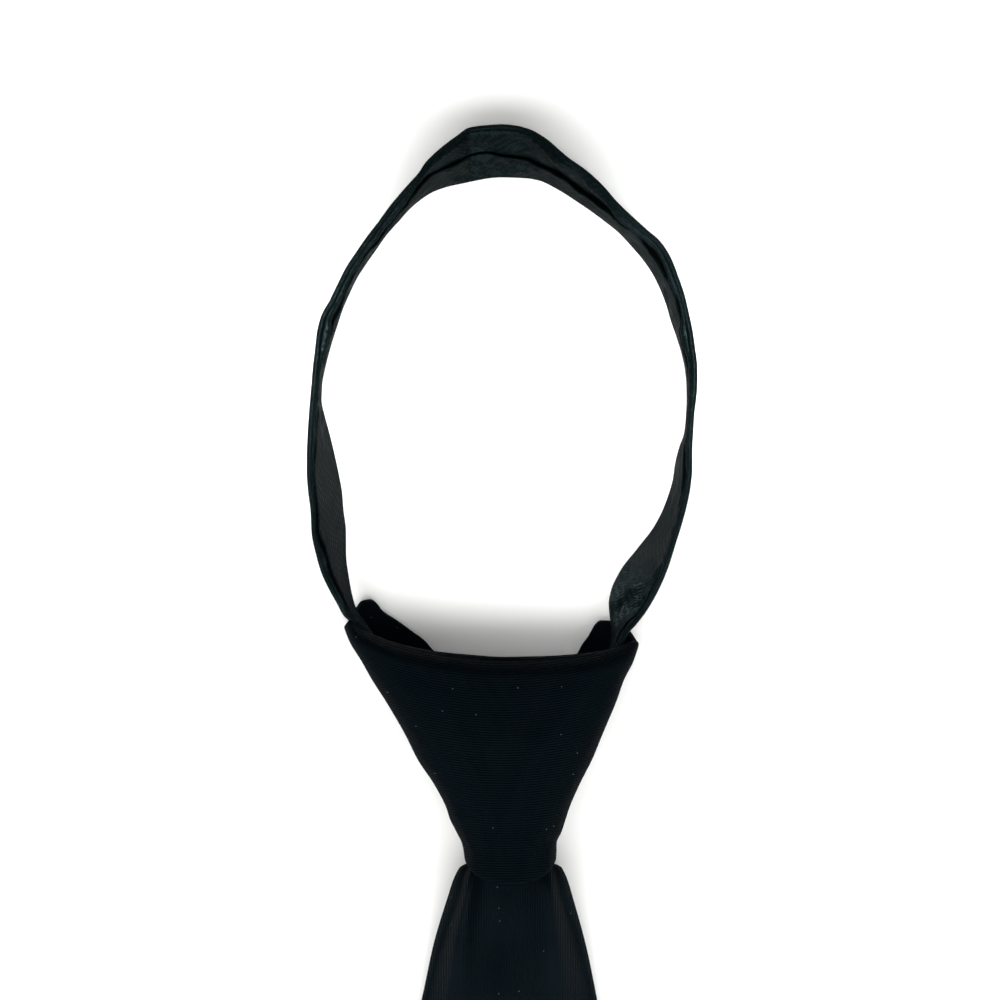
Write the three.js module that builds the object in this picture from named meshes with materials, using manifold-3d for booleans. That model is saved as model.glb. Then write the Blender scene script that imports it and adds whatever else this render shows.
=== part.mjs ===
// A pre-tied black necktie that closes with a zip, lying face up on a table.
// A folded strip of lining cloth makes the neck loop and stands on its edge.
// Its ends run into a hollow knot, out of which the blade hangs.
// Behind the blade lies the closed zip, with its slider just under the knot.
//
// Millimetres. +X is to the right seen from the front, +Y runs up the tie towards the
// neck, and +Z is up from the table, out of the tie's face. The sizes below count from a
// point between the knot's upper corners, and the last lines move the whole tie so that
// the origin lies under the middle of its box.
import * as THREE from "three";
import Module from "manifold-3d";
import { mergeVertices } from "three/addons/utils/BufferGeometryUtils.js";

const wasm = await Module();
wasm.setup();

// Neck band
const BAND_THICK = 2.1; // cloth folded double
const BAND_PUFF = 0.3; // how far each flap swells between its fold and the seam
const BAND_SEAM_DEPTH = 1.1; // down to the back layer
const BAND_SEAM_FULL = 0.5; // a seam that gapes less than this is shallower too
const BAND_SEAM_LIMIT = 0.66; // the seam stays this far inside the folds, as a share of half the strip
const BAND_STEEPEST = 0.3; // where the strip stands steeper than this, its seam is placed as if it didn't
const BAND_STEPS = 2; // sections made for each row of the tables below
const LOOP_CENTRE_Y = 57.6;
const FOLD_SIDES = 4; // facets round each lengthwise fold

// Knot
const KNOT_WALL = 2.0;
const KNOT_COLUMNS = 18; // across the front, and as many across the back
const KNOT_LEVELS = 11;
const KNOT_SIDE_BOTTOM = -52.3;
const KNOT_FRONT_ARC = 6.7; // how far the front's lower edge bows down between the sides
const KNOT_BACK_BOTTOM = -51.6;
const KNOT_BACK_BOXIER = 4; // the back lies flat, so its corners are squarer than the front's

// Blade
const BLADE_THICK = 2.8;
const BLADE_TIP_Y = -500;
const BLADE_TIP_HALF = 1.2;
const BLADE_STEPS = 3;
const BLADE_COLUMNS = 14;
const BLADE_EDGE_ROUND = 0.9;
const BLADE_SHOULDER = 2.0; // least width over which the back comes down beside the zip
const BLADE_SEAM_WIDTH = 1.8;
const BLADE_SEAM_DEPTH = 0.8;
const BLADE_CREST_SPREAD = 0.24; // width of each soft ridge, as a share of half the width
const TIP_RIM_SHARE = 1 / 3; // near the tip the rim, the flat back and its seam shrink to these
const TIP_FLAT_SHARE = 1 / 2; // shares of half the width
const TIP_SEAM_SHARE = 1 / 6;

// Zip
const ZIP_CENTRE_X = 2.0;
const ZIP_HALF = 8.5;
const ZIP_CLEAR = 0.8; // the blade's back stays level this far past the zip's edges
const ZIP_THICK = 1.8; // at the coil
const COIL_HALF = 1.3;
const TAPE_THICK = 1.0;
const SLIDER_HALF = 4.5;
const SLIDER_TOP_Y = -52.8;
const SLIDER_BOTTOM_Y = -63.8;
const SLIDER_PLATE = 1.2; // plate next to the table, and the pull
const SLIDER_FACE = 1.0; // plate next to the blade
const SLIDER_TALL = 5.0;
const WEDGE_HALF = 1.0;
const WEDGE_LONG = 3.6;
const PULL_HALF = 2.6;
const PULL_BOTTOM_Y = -84;
const PULL_HELD = 1.0; // length of the pull inside the slider
const PULL_FACETS = 6;
const MERGE_WITHIN = 1e-4;

// The neck loop seen from above, one row for each section, clockwise over the nape.
// at: bearing from the loop's centre, 0 up the tie, in degrees
// inner, outer: distance of the band's two edges from that centre
// seam: where the two flaps meet, as a share of the way from inner to outer edge
// open: how wide the seam gapes
// strip: flat width of the folded strip
// rise: height of the lower edge above the table
const LOOP_ROWS = [
  { at: -130, inner: 49.1, outer: 57.8, seam: 0.7, open: 0.8, strip: 14.4, rise: 0.4 },
  { at: -120, inner: 44.5, outer: 52.6, seam: 0.82, open: 0.9, strip: 15, rise: 0 },
  { at: -110, inner: 42.6, outer: 49.4, seam: 0.84, open: 0.6, strip: 15, rise: 0 },
  { at: -100, inner: 42.4, outer: 46.9, seam: 0.7, open: 0.5, strip: 15, rise: 0 },
  { at: -90, inner: 43.4, outer: 46.0, seam: 0.5, open: 0.5, strip: 15, rise: 0 },
  { at: -80, inner: 43.1, outer: 45.7, seam: 0.4, open: 0.6, strip: 15, rise: 0 },
  { at: -70, inner: 43.3, outer: 46.9, seam: 0.36, open: 0.9, strip: 15, rise: 0 },
  { at: -65, inner: 43.7, outer: 47.9, seam: 0.32, open: 0.9, strip: 15, rise: 0 },
  { at: -60, inner: 44.0, outer: 47.3, seam: 0.34, open: 0.8, strip: 15, rise: 0 },
  { at: -50, inner: 45.6, outer: 48.6, seam: 0.42, open: 0.9, strip: 15, rise: 0 },
  { at: -40, inner: 47.3, outer: 50.4, seam: 0.42, open: 0.6, strip: 15, rise: 0 },
  { at: -30, inner: 49.7, outer: 53.5, seam: 0.32, open: 0.6, strip: 15, rise: 0 },
  { at: -20, inner: 52.8, outer: 57.6, seam: 0.5, open: 0.7, strip: 15, rise: 0 },
  { at: -15, inner: 53.2, outer: 61.0, seam: 0.48, open: 0.8, strip: 15, rise: 0 },
  { at: -10, inner: 53.0, outer: 64.0, seam: 0.5, open: 0.8, strip: 15, rise: 0 },
  { at: -5, inner: 53.4, outer: 65.6, seam: 0.49, open: 0.9, strip: 15.2, rise: 0 },
  { at: 0, inner: 53.6, outer: 65.8, seam: 0.42, open: 0.9, strip: 15.2, rise: 0 },
  { at: 5, inner: 53.6, outer: 64.8, seam: 0.4, open: 0.8, strip: 15, rise: 0 },
  { at: 10, inner: 53.5, outer: 63.2, seam: 0.4, open: 0.8, strip: 15, rise: 0 },
  { at: 15, inner: 52.3, outer: 60.0, seam: 0.38, open: 0.8, strip: 15, rise: 0 },
  { at: 20, inner: 51.2, outer: 58.3, seam: 0.32, open: 0.9, strip: 15, rise: 0 },
  { at: 30, inner: 49.6, outer: 54.7, seam: 0.4, open: 0.8, strip: 15, rise: 0 },
  { at: 40, inner: 48.4, outer: 53.3, seam: 0.48, open: 0.8, strip: 15, rise: 0 },
  { at: 45, inner: 47.8, outer: 53.6, seam: 0.44, open: 0.9, strip: 15, rise: 0 },
  { at: 50, inner: 47.2, outer: 52.5, seam: 0.42, open: 0.8, strip: 15, rise: 0 },
  { at: 60, inner: 45.5, outer: 49.9, seam: 0.5, open: 0.8, strip: 15, rise: 0 },
  { at: 70, inner: 44.6, outer: 48.0, seam: 0.36, open: 0.8, strip: 15, rise: 0 },
  { at: 80, inner: 44.2, outer: 46.8, seam: 0.3, open: 0.8, strip: 15, rise: 0 },
  { at: 90, inner: 44.0, outer: 46.2, seam: 0.4, open: 0.6, strip: 15, rise: 0 },
  { at: 100, inner: 44.0, outer: 46.2, seam: 0.5, open: 0.6, strip: 15, rise: 0 },
  { at: 110, inner: 44.2, outer: 48.0, seam: 0.66, open: 0.9, strip: 15, rise: 0 },
  { at: 120, inner: 46.0, outer: 50.5, seam: 0.8, open: 0.7, strip: 15, rise: 0 },
  { at: 130, inner: 47.5, outer: 53.8, seam: 0.82, open: 0.6, strip: 15, rise: 0.1 },
];

// The band's two feet and the ends inside the knot, from the loop down.
// inX, inY and outX, outY: the two edges seen from above. Below the mouth they are plain.
const LEFT_FOOT_ROWS = [
  { inX: -37.4, inY: 20.4, outX: -43.2, outY: 16.3, seam: 0.66, open: 0.8, strip: 12.4, rise: 0.9 },
  { inX: -36.7, inY: 14.9, outX: -41.8, outY: 12.0, seam: 0.6, open: 0.8, strip: 10.6, rise: 1.7 },
  { inX: -35.9, inY: 10.6, outX: -39.9, outY: 8.8, seam: 0.56, open: 0.8, strip: 8.8, rise: 2.5 },
  { inX: -34.8, inY: 7.2, outX: -38.3, outY: 5.9, seam: 0.52, open: 0.7, strip: 7.4, rise: 2.8 },
  { inX: -32.2, inY: 3.6, outX: -34.6, outY: 2.8, seam: 0.5, open: 0.5, strip: 6.8, rise: 3.3 },
  { inX: -25.4, inY: -7.6, outX: -28.0, outY: -8.9, seam: 0.5, open: 0.5, strip: 7.0, rise: 3.4 },
  { inX: -19.4, inY: -18.4, outX: -21.8, outY: -19.6, seam: 0.5, open: 0.5, strip: 7.4, rise: 3.4 },
  { inX: -14.4, inY: -26.6, outX: -16.8, outY: -27.8, seam: 0.5, open: 0.05, strip: 7.4, rise: 3.4 },
];
const RIGHT_FOOT_ROWS = [
  { inX: 32.2, inY: 21.6, outX: 39.6, outY: 17.8, seam: 0.86, open: 0.6, strip: 14.4, rise: 0.6 },
  { inX: 28.6, inY: 17.0, outX: 37.6, outY: 13.0, seam: 0.84, open: 0.6, strip: 13.6, rise: 1.2 },
  { inX: 26.2, inY: 12.0, outX: 35.6, outY: 9.4, seam: 0.8, open: 0.7, strip: 12.2, rise: 1.9 },
  { inX: 25.6, inY: 8.6, outX: 34.0, outY: 6.7, seam: 0.74, open: 0.7, strip: 10.6, rise: 2.5 },
  { inX: 25.9, inY: 5.3, outX: 32.2, outY: 3.9, seam: 0.66, open: 0.7, strip: 8.6, rise: 2.8 },
  { inX: 26.2, inY: 1.6, outX: 30.0, outY: 1.0, seam: 0.56, open: 0.6, strip: 7.2, rise: 3.3 },
  { inX: 24.6, inY: -6.4, outX: 27.4, outY: -7.2, seam: 0.5, open: 0.5, strip: 7.0, rise: 3.4 },
  { inX: 21.0, inY: -15.4, outX: 23.6, outY: -16.4, seam: 0.5, open: 0.5, strip: 7.4, rise: 3.4 },
  { inX: 17.6, inY: -23.4, outX: 20.2, outY: -24.6, seam: 0.5, open: 0.05, strip: 7.4, rise: 3.4 },
];

// The knot, one row for each level up the tie.
// left, right: its side edges; deep: its thickness; square: 2 is an ellipse, more is boxier
const KNOT_ROWS = [
  { y: -60, left: -9.0, right: 13.1, deep: 14.0, square: 2.9 },
  { y: -52, left: -9.1, right: 13.0, deep: 14.2, square: 2.9 },
  { y: -48, left: -10.1, right: 13.4, deep: 14.4, square: 2.9 },
  { y: -43, left: -12.5, right: 15.1, deep: 14.8, square: 2.9 },
  { y: -34.5, left: -16.5, right: 18.5, deep: 15.6, square: 2.9 },
  { y: -23, left: -23.1, right: 23.8, deep: 16.4, square: 3.0 },
  { y: -14, left: -28.3, right: 27.5, deep: 16.4, square: 3.2 },
  { y: -5, left: -33.7, right: 31.4, deep: 15.9, square: 3.5 },
  { y: 0, left: -36.8, right: 32.9, deep: 15.3, square: 3.8 },
  { y: 4.4, left: -38.0, right: 33.2, deep: 14.6, square: 4.0 },
  { y: 10, left: -38.2, right: 33.2, deep: 13.8, square: 4.0 },
];

// Top edges of the knot's front and back, from side edge (-1) to side edge (1).
// The back stands above the front at each corner, as a wing behind the band.
const KNOT_FRONT_ROWS = [
  { across: -1.0, top: 1.4 },
  { across: -0.97, top: 3.5 },
  { across: -0.86, top: 1.2 },
  { across: -0.7, top: -1.0 },
  { across: -0.42, top: -2.9 },
  { across: 0.05, top: -4.3 },
  { across: 0.6, top: -3.6 },
  { across: 0.8, top: -2.6 },
  { across: 0.94, top: -1.0 },
  { across: 1.0, top: -0.4 },
];
const KNOT_BACK_ROWS = [
  { across: -1.0, top: 1.4 },
  { across: -0.95, top: 5.6 },
  { across: -0.88, top: 8.9 },
  { across: -0.81, top: 9.6 },
  { across: -0.62, top: 4.4 },
  { across: -0.42, top: -2.9 },
  { across: 0.0, top: -7.0 },
  { across: 0.56, top: -4.6 },
  { across: 0.62, top: -2.6 },
  { across: 0.7, top: 2.4 },
  { across: 0.81, top: 4.8 },
  { across: 0.92, top: 3.0 },
  { across: 1.0, top: -0.4 },
];

// The blade, one row for each level down the tie.
// left, right: its side edges; lift: height of its back over the zip
// crest: height of the two soft ridges beside the dimple; place: how far out they run,
// as a share of half the width; under: share of the lift that the side edges keep
const BLADE_ROWS = [
  { y: -22, left: -9.0, right: 11.6, lift: 5.6, crest: 0.6, place: 0.5, under: 1.0 },
  { y: -40, left: -7.6, right: 10.6, lift: 5.6, crest: 1.0, place: 0.5, under: 1.0 },
  { y: -49, left: -6.2, right: 10.0, lift: 5.6, crest: 1.2, place: 0.5, under: 1.0 },
  { y: -52.4, left: -6.6, right: 10.4, lift: 5.5, crest: 1.4, place: 0.52, under: 1.0 },
  { y: -54.6, left: -9.7, right: 13.8, lift: 5.4, crest: 1.5, place: 0.54, under: 0.9 },
  { y: -60.5, left: -11.8, right: 15.6, lift: 5.3, crest: 2.0, place: 0.6, under: 0.6 },
  { y: -72, left: -15.6, right: 19.0, lift: 4.4, crest: 2.2, place: 0.64, under: 0.2 },
  { y: -85, left: -18.9, right: 22.2, lift: 4.0, crest: 1.8, place: 0.6, under: 0 },
  { y: -100, left: -22.4, right: 25.2, lift: 2.4, crest: 1.3, place: 0.54, under: 0 },
  { y: -125, left: -26.4, right: 28.4, lift: 2.3, crest: 0.8, place: 0.48, under: 0 },
  { y: -158, left: -29.6, right: 30.8, lift: 2.3, crest: 0.4, place: 0.42, under: 0 },
  { y: -180, left: -31.2, right: 32.0, lift: 0, crest: 0.2, place: 0.4, under: 0 },
  { y: -250, left: -35.0, right: 35.4, lift: 0, crest: 0, place: 0.4, under: 0 },
  { y: -360, left: -39.8, right: 40.0, lift: 0, crest: 0, place: 0.4, under: 0 },
  { y: -457, left: -43.0, right: 43.0, lift: 0, crest: 0, place: 0.4, under: 0 },
];

// Height of the zip's underside. It rises over the slider's pull and the knot's back.
const ZIP_ROWS = [
  { y: -58.4, z: 1.7 },
  { y: -86, z: 1.7 },
  { y: -97, z: 0 },
  { y: -158, z: 0 },
];

// The two tapes above the slider, from the closed zip up to the band's ends.
const LEFT_TAPE_ROWS = [
  { y: -60, left: -6.5, right: 0.4, z: 1.7 },
  { y: -56, left: -6.5, right: 0.4, z: 1.7 },
  { y: -50, left: -6.0, right: 0.4, z: 2.4 },
  { y: -29, left: -13.6, right: -6.4, z: 2.4 },
];
const RIGHT_TAPE_ROWS = [
  { y: -60, left: 3.6, right: 10.5, z: 1.7 },
  { y: -56, left: 3.6, right: 10.5, z: 1.7 },
  { y: -50, left: 3.6, right: 9.9, z: 2.4 },
  { y: -26, left: 9.8, right: 17.0, z: 2.4 },
];

// One column of a table at a place between its rows, on a curve that never overshoots.
function columnAt(rows, key, name, place) {
  const way = Math.sign(rows.at(-1)[key] - rows[0][key]);
  const x = rows.map((row) => way * row[key]);
  const y = rows.map((row) => row[name]);
  const at = THREE.MathUtils.clamp(way * place, x[0], x.at(-1));
  const i = Math.min(x.findLastIndex((value) => value <= at), rows.length - 2);
  const slope = (k) => (y[k + 1] - y[k]) / (x[k + 1] - x[k]);
  const tangent = (k) => {
    if (k === 0) return slope(0);
    if (k === rows.length - 1) return slope(k - 1);
    const [before, after] = [slope(k - 1), slope(k)];
    return before * after <= 0 ? 0 : (2 * before * after) / (before + after);
  };
  const span = x[i + 1] - x[i];
  const t = (at - x[i]) / span;
  const [t2, t3] = [t * t, t * t * t];
  return (
    (2 * t3 - 3 * t2 + 1) * y[i] +
    (t3 - 2 * t2 + t) * span * tangent(i) +
    (3 * t2 - 2 * t3) * y[i + 1] +
    (t3 - t2) * span * tangent(i + 1)
  );
}

// A table with extra rows worked out between its own.
function finer(rows, key, steps) {
  const made = [];
  const names = Object.keys(rows[0]);
  for (let i = 0; i < rows.length - 1; i += 1) {
    for (let step = 0; step < steps; step += 1) {
      const place = THREE.MathUtils.lerp(rows[i][key], rows[i + 1][key], step / steps);
      const row = names.map((name) => [name, columnAt(rows, key, name, place)]);
      made.push({ ...Object.fromEntries(row), [key]: place });
    }
  }
  return [...made, rows.at(-1)];
}

const mean = (values) => values.reduce((sum, value) => sum + value, 0) / values.length;

// A closed solid's surface from its points and triangles, turned to face outwards.
function surface(points, triangles) {
  const geometry = new THREE.BufferGeometry();
  geometry.setAttribute("position", new THREE.Float32BufferAttribute(points.flat(), 3));
  let volume = 0;
  const [a, b, c] = [new THREE.Vector3(), new THREE.Vector3(), new THREE.Vector3()];
  for (const [i, j, k] of triangles) {
    b.fromArray(points[j]).cross(c.fromArray(points[k]));
    volume += a.fromArray(points[i]).dot(b);
  }
  const facing = volume > 0 ? triangles : triangles.map(([i, j, k]) => [i, k, j]);
  geometry.setIndex(facing.flat());
  return geometry;
}

// A solid lofted through outlines of equal length, its two ends closed by a fan.
function loft(outlines) {
  const count = outlines[0].length;
  const points = outlines.flat();
  const triangles = [];
  for (let i = 0; i < outlines.length - 1; i += 1) {
    for (let j = 0; j < count; j += 1) {
      const [here, next] = [i * count + j, i * count + ((j + 1) % count)];
      triangles.push([here, next, next + count], [here, next + count, here + count]);
    }
  }
  const close = (outline, first, forward) => {
    points.push([0, 1, 2].map((axis) => mean(outline.map((point) => point[axis]))));
    const middle = points.length - 1;
    for (let j = 0; j < count; j += 1) {
      const [here, next] = [first + j, first + ((j + 1) % count)];
      triangles.push(forward ? [here, next, middle] : [next, here, middle]);
    }
  };
  close(outlines[0], 0, false);
  close(outlines.at(-1), (outlines.length - 1) * count, true);
  return surface(points, triangles);
}

// Solids joined into one.
function joined(geometries) {
  const solids = geometries.map((geometry) => {
    const bare = geometry.clone();
    bare.deleteAttribute("normal");
    bare.deleteAttribute("uv");
    const merged = mergeVertices(bare, MERGE_WITHIN);
    const vertProperties = merged.attributes.position.array;
    const triVerts = new Uint32Array(merged.index.array);
    return new wasm.Manifold(new wasm.Mesh({ numProp: 3, vertProperties, triVerts }));
  });
  const mesh = solids.reduce((whole, solid) => whole.add(solid)).getMesh();
  const geometry = new THREE.BufferGeometry();
  geometry.setAttribute("position", new THREE.BufferAttribute(mesh.vertProperties, 3));
  geometry.setIndex(new THREE.BufferAttribute(mesh.triVerts, 1));
  return geometry;
}

// Neck band: every row becomes a place for its two edges seen from above.
function bandStations() {
  const fromBearing = (row) => {
    const bearing = THREE.MathUtils.degToRad(row.at);
    const [x, y] = [Math.sin(bearing), Math.cos(bearing)];
    return {
      inX: x * row.inner,
      inY: LOOP_CENTRE_Y + y * row.inner,
      outX: x * row.outer,
      outY: LOOP_CENTRE_Y + y * row.outer,
      seam: row.seam,
      open: row.open,
      strip: row.strip,
      rise: row.rise,
    };
  };
  const rows = [...LEFT_FOOT_ROWS.toReversed(), ...LOOP_ROWS.map(fromBearing), ...RIGHT_FOOT_ROWS];
  return finer(rows.map((row, index) => ({ index, ...row })), "index", BAND_STEPS);
}

// The folded strip's outline at one place. Its lower fold is the loop's inner edge and its
// upper fold the outer edge, and how far they lie apart seen from above gives its lean.
function bandOutline({ inX, inY, outX, outY, seam, open, strip, rise }) {
  const seen = Math.hypot(outX - inX, outY - inY);
  const [dx, dy] = [(outX - inX) / seen, (outY - inY) / seen];
  const flat = strip - BAND_THICK;
  const lean = Math.acos(THREE.MathUtils.clamp((seen - BAND_THICK) / flat, 0, 1));
  const [across, up] = [Math.cos(lean), Math.sin(lean)];
  const radius = BAND_THICK / 2;
  const reach = flat / 2;
  const steep = Math.max(across, BAND_STEEPEST);
  const farthest = BAND_SEAM_LIMIT * reach;
  const seamAt = THREE.MathUtils.clamp(((seam - 0.5) * seen + radius * up) / steep, -farthest, farthest);
  const drawn = [];
  for (let i = 0; i <= FOLD_SIDES; i += 1) {
    const turn = -Math.PI / 2 - (Math.PI * i) / FOLD_SIDES;
    drawn.push([-reach + radius * Math.cos(turn), radius * Math.sin(turn)]);
  }
  drawn.push([(seamAt - open / 2 - reach) / 2, radius + BAND_PUFF]);
  drawn.push([seamAt - open / 2, radius]);
  drawn.push([seamAt, radius - BAND_SEAM_DEPTH * Math.min(1, open / BAND_SEAM_FULL)]);
  drawn.push([seamAt + open / 2, radius]);
  drawn.push([(seamAt + open / 2 + reach) / 2, radius + BAND_PUFF]);
  for (let i = 0; i <= FOLD_SIDES; i += 1) {
    const turn = Math.PI / 2 - (Math.PI * i) / FOLD_SIDES;
    drawn.push([reach + radius * Math.cos(turn), radius * Math.sin(turn)]);
  }
  const [midX, midY] = [(inX + outX) / 2, (inY + outY) / 2];
  const midZ = rise + radius + reach * up;
  return drawn.map(([along, out]) => {
    const level = along * across - out * up;
    return [midX + dx * level, midY + dy * level, midZ + along * up + out * across];
  });
}

function neckBand() {
  return loft(bandStations().map(bandOutline));
}

// Knot: one closed wall section for each column round it, from the back's left side on.
function knotColumn(across, front) {
  const round = Math.sqrt(Math.max(0, 1 - across * across));
  const bow = front ? -KNOT_FRONT_ARC : KNOT_BACK_BOTTOM - KNOT_SIDE_BOTTOM;
  const bottom = KNOT_SIDE_BOTTOM + bow * round;
  const top = columnAt(front ? KNOT_FRONT_ROWS : KNOT_BACK_ROWS, "across", "top", across);
  const side = front ? 1 : -1;
  const pointAt = (level, wall) => {
    const y = THREE.MathUtils.lerp(bottom, top, level / KNOT_LEVELS);
    const [left, right, deep, square] = ["left", "right", "deep", "square"].map((name) =>
      columnAt(KNOT_ROWS, "y", name, y),
    );
    const boxy = front ? square : square + KNOT_BACK_BOXIER;
    const bulge = (1 - Math.abs(across) ** boxy) ** (1 / boxy);
    const x = (left + right) / 2 + ((right - left) / 2 - wall) * across;
    return [x, y, deep / 2 + side * (deep / 2 - wall) * bulge];
  };
  const points = [];
  for (let level = 0; level <= KNOT_LEVELS; level += 1) points.push(pointAt(level, 0));
  for (let level = KNOT_LEVELS; level >= 0; level -= 1) points.push(pointAt(level, KNOT_WALL));
  return points;
}

function knot() {
  const columns = [];
  for (const front of [true, false]) {
    for (let i = 0; i < KNOT_COLUMNS; i += 1) {
      const across = Math.cos((Math.PI * i) / KNOT_COLUMNS);
      columns.push(knotColumn(front ? -across : across, front));
    }
  }
  const count = columns[0].length;
  const triangles = [];
  for (let column = 0; column < columns.length; column += 1) {
    const [here, there] = [column * count, ((column + 1) % columns.length) * count];
    for (let j = 0; j < count; j += 1) {
      const next = (j + 1) % count;
      triangles.push([here + j, here + next, there + next], [here + j, there + next, there + j]);
    }
  }
  return surface(columns.flat(), triangles);
}

// Blade: a padded sheet that drapes over the zip, with two soft ridges beside its dimple.
function bladeOutline({ y, left, right, lift, crest, place, under }) {
  const [middle, half] = [(left + right) / 2, (right - left) / 2];
  const [level, shoulder] = [ZIP_HALF + ZIP_CLEAR, Math.max(half, ZIP_HALF + BLADE_SHOULDER)];
  const underside = (x) => {
    const past = THREE.MathUtils.smoothstep(Math.abs(x - middle), level, shoulder);
    return lift * (1 - (1 - under) * past);
  };
  const ridge = (x) => {
    const away = (Math.abs(x - middle) / half - place) / BLADE_CREST_SPREAD;
    return crest * Math.exp(-away * away);
  };
  const rim = Math.min(BLADE_EDGE_ROUND, half * TIP_RIM_SHARE);
  const points = [[left, y, underside(left) + BLADE_THICK / 2]];
  for (let i = 0; i <= BLADE_COLUMNS; i += 1) {
    const x = THREE.MathUtils.lerp(left + rim, right - rim, i / BLADE_COLUMNS);
    points.push([x, y, underside(x) + BLADE_THICK + ridge(x)]);
  }
  points.push([right, y, underside(right) + BLADE_THICK / 2]);
  const seamHalf = Math.min(BLADE_SEAM_WIDTH / 2, half * TIP_SEAM_SHARE);
  const flatHalf = Math.min(level, half * TIP_FLAT_SHARE);
  const farHalf = (flatHalf + half - rim) / 2;
  points.push([right - rim, y, underside(right - rim)]);
  for (const x of [farHalf, flatHalf, seamHalf]) points.push([middle + x, y, underside(middle + x)]);
  points.push([middle, y, lift + BLADE_SEAM_DEPTH]);
  for (const x of [seamHalf, flatHalf, farHalf]) points.push([middle - x, y, underside(middle - x)]);
  points.push([left + rim, y, underside(left + rim)]);
  return points;
}

function blade() {
  const rows = finer(BLADE_ROWS, "y", BLADE_STEPS);
  const tip = { ...rows.at(-1), y: BLADE_TIP_Y, left: -BLADE_TIP_HALF, right: BLADE_TIP_HALF };
  return loft([...rows, tip].map(bladeOutline));
}

// Zip: the closed coil with its two tapes, and a tape to each of the band's ends.
function zipOutline({ y, z }) {
  const [low, high] = [z + (ZIP_THICK - TAPE_THICK) / 2, z + (ZIP_THICK + TAPE_THICK) / 2];
  const half = [
    [ZIP_HALF, low],
    [COIL_HALF, low],
    [COIL_HALF, z],
  ];
  const lower = [...half, ...half.toReversed().map(([x, level]) => [-x, level])];
  const upper = lower.toReversed().map(([x, level]) => [x, 2 * z + ZIP_THICK - level]);
  return [...lower, ...upper].map(([x, level]) => [ZIP_CENTRE_X + x, y, level]);
}

function tapeOutline({ y, left, right, z }) {
  const low = z + (ZIP_THICK - TAPE_THICK) / 2;
  return [
    [left, y, low],
    [right, y, low],
    [right, y, low + TAPE_THICK],
    [left, y, low + TAPE_THICK],
  ];
}

function zipperTail() {
  return joined([
    loft(ZIP_ROWS.map(zipOutline)),
    loft(LEFT_TAPE_ROWS.map(tapeOutline)),
    loft(RIGHT_TAPE_ROWS.map(tapeOutline)),
  ]);
}

// Slider: two plates round the zip, the wedge that parts its halves, and a flat pull.
function zipperSlider() {
  const block = (half, fromY, toY, fromZ, toZ) =>
    new THREE.BoxGeometry(2 * half, toY - fromY, toZ - fromZ).translate(
      ZIP_CENTRE_X,
      (fromY + toY) / 2,
      (fromZ + toZ) / 2,
    );
  const plate = (low, high) => block(SLIDER_HALF, SLIDER_BOTTOM_Y, SLIDER_TOP_Y, low, high);
  const [plateUnder, plateOver] = [plate(0, SLIDER_PLATE), plate(SLIDER_TALL - SLIDER_FACE, SLIDER_TALL)];
  const wedge = block(
    WEDGE_HALF,
    SLIDER_TOP_Y - WEDGE_LONG,
    SLIDER_TOP_Y,
    SLIDER_PLATE / 2,
    SLIDER_TALL - SLIDER_FACE / 2,
  );
  const pull = new THREE.Shape();
  pull.moveTo(ZIP_CENTRE_X - PULL_HALF, SLIDER_BOTTOM_Y + PULL_HELD);
  pull.lineTo(ZIP_CENTRE_X - PULL_HALF, PULL_BOTTOM_Y + PULL_HALF);
  pull.absarc(ZIP_CENTRE_X, PULL_BOTTOM_Y + PULL_HALF, PULL_HALF, Math.PI, 2 * Math.PI, false);
  pull.lineTo(ZIP_CENTRE_X + PULL_HALF, SLIDER_BOTTOM_Y + PULL_HELD);
  const pullTab = new THREE.ExtrudeGeometry(pull, {
    depth: SLIDER_PLATE,
    bevelEnabled: false,
    curveSegments: PULL_FACETS,
  });
  return joined([plateOver, plateUnder, wedge, pullTab]);
}

const PIECES = [
  { name: "neck_band", make: neckBand, color: 0x26292b, roughness: 0.55, metalness: 0 },
  { name: "knot", make: knot, color: 0x0b0d12, roughness: 0.7, metalness: 0 },
  { name: "blade", make: blade, color: 0x0b0d12, roughness: 0.7, metalness: 0 },
  { name: "zipper_tail", make: zipperTail, color: 0x101113, roughness: 0.8, metalness: 0 },
  { name: "zipper_slider", make: zipperSlider, color: 0x2a2b2d, roughness: 0.35, metalness: 1 },
];

const tie = new THREE.Group();
for (const { name, make, color, roughness, metalness } of PIECES) {
  const mesh = new THREE.Mesh(make(), new THREE.MeshStandardMaterial({ color, roughness, metalness }));
  mesh.name = name;
  tie.add(mesh);
}

// The origin goes under the middle of the tie's box.
const box = new THREE.Box3().setFromObject(tie);
tie.position.set(-(box.min.x + box.max.x) / 2, -(box.min.y + box.max.y) / 2, -box.min.z);

export default tie;
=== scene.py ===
# %% [markdown]
# A zip-up necktie, dressed.
#
# The tie is already tied when it is bought. A folded strip of lining cloth makes the neck loop,
# a hollow knot hides the loop's two ends, and the blade hangs out of the knot. Behind the blade
# a zip shortens the loop. The solid frame gives every size. This file dresses the frame with
# cloth that has walls, folded edges, a weave and a sheen.

# %% Load the frame
import math

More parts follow.
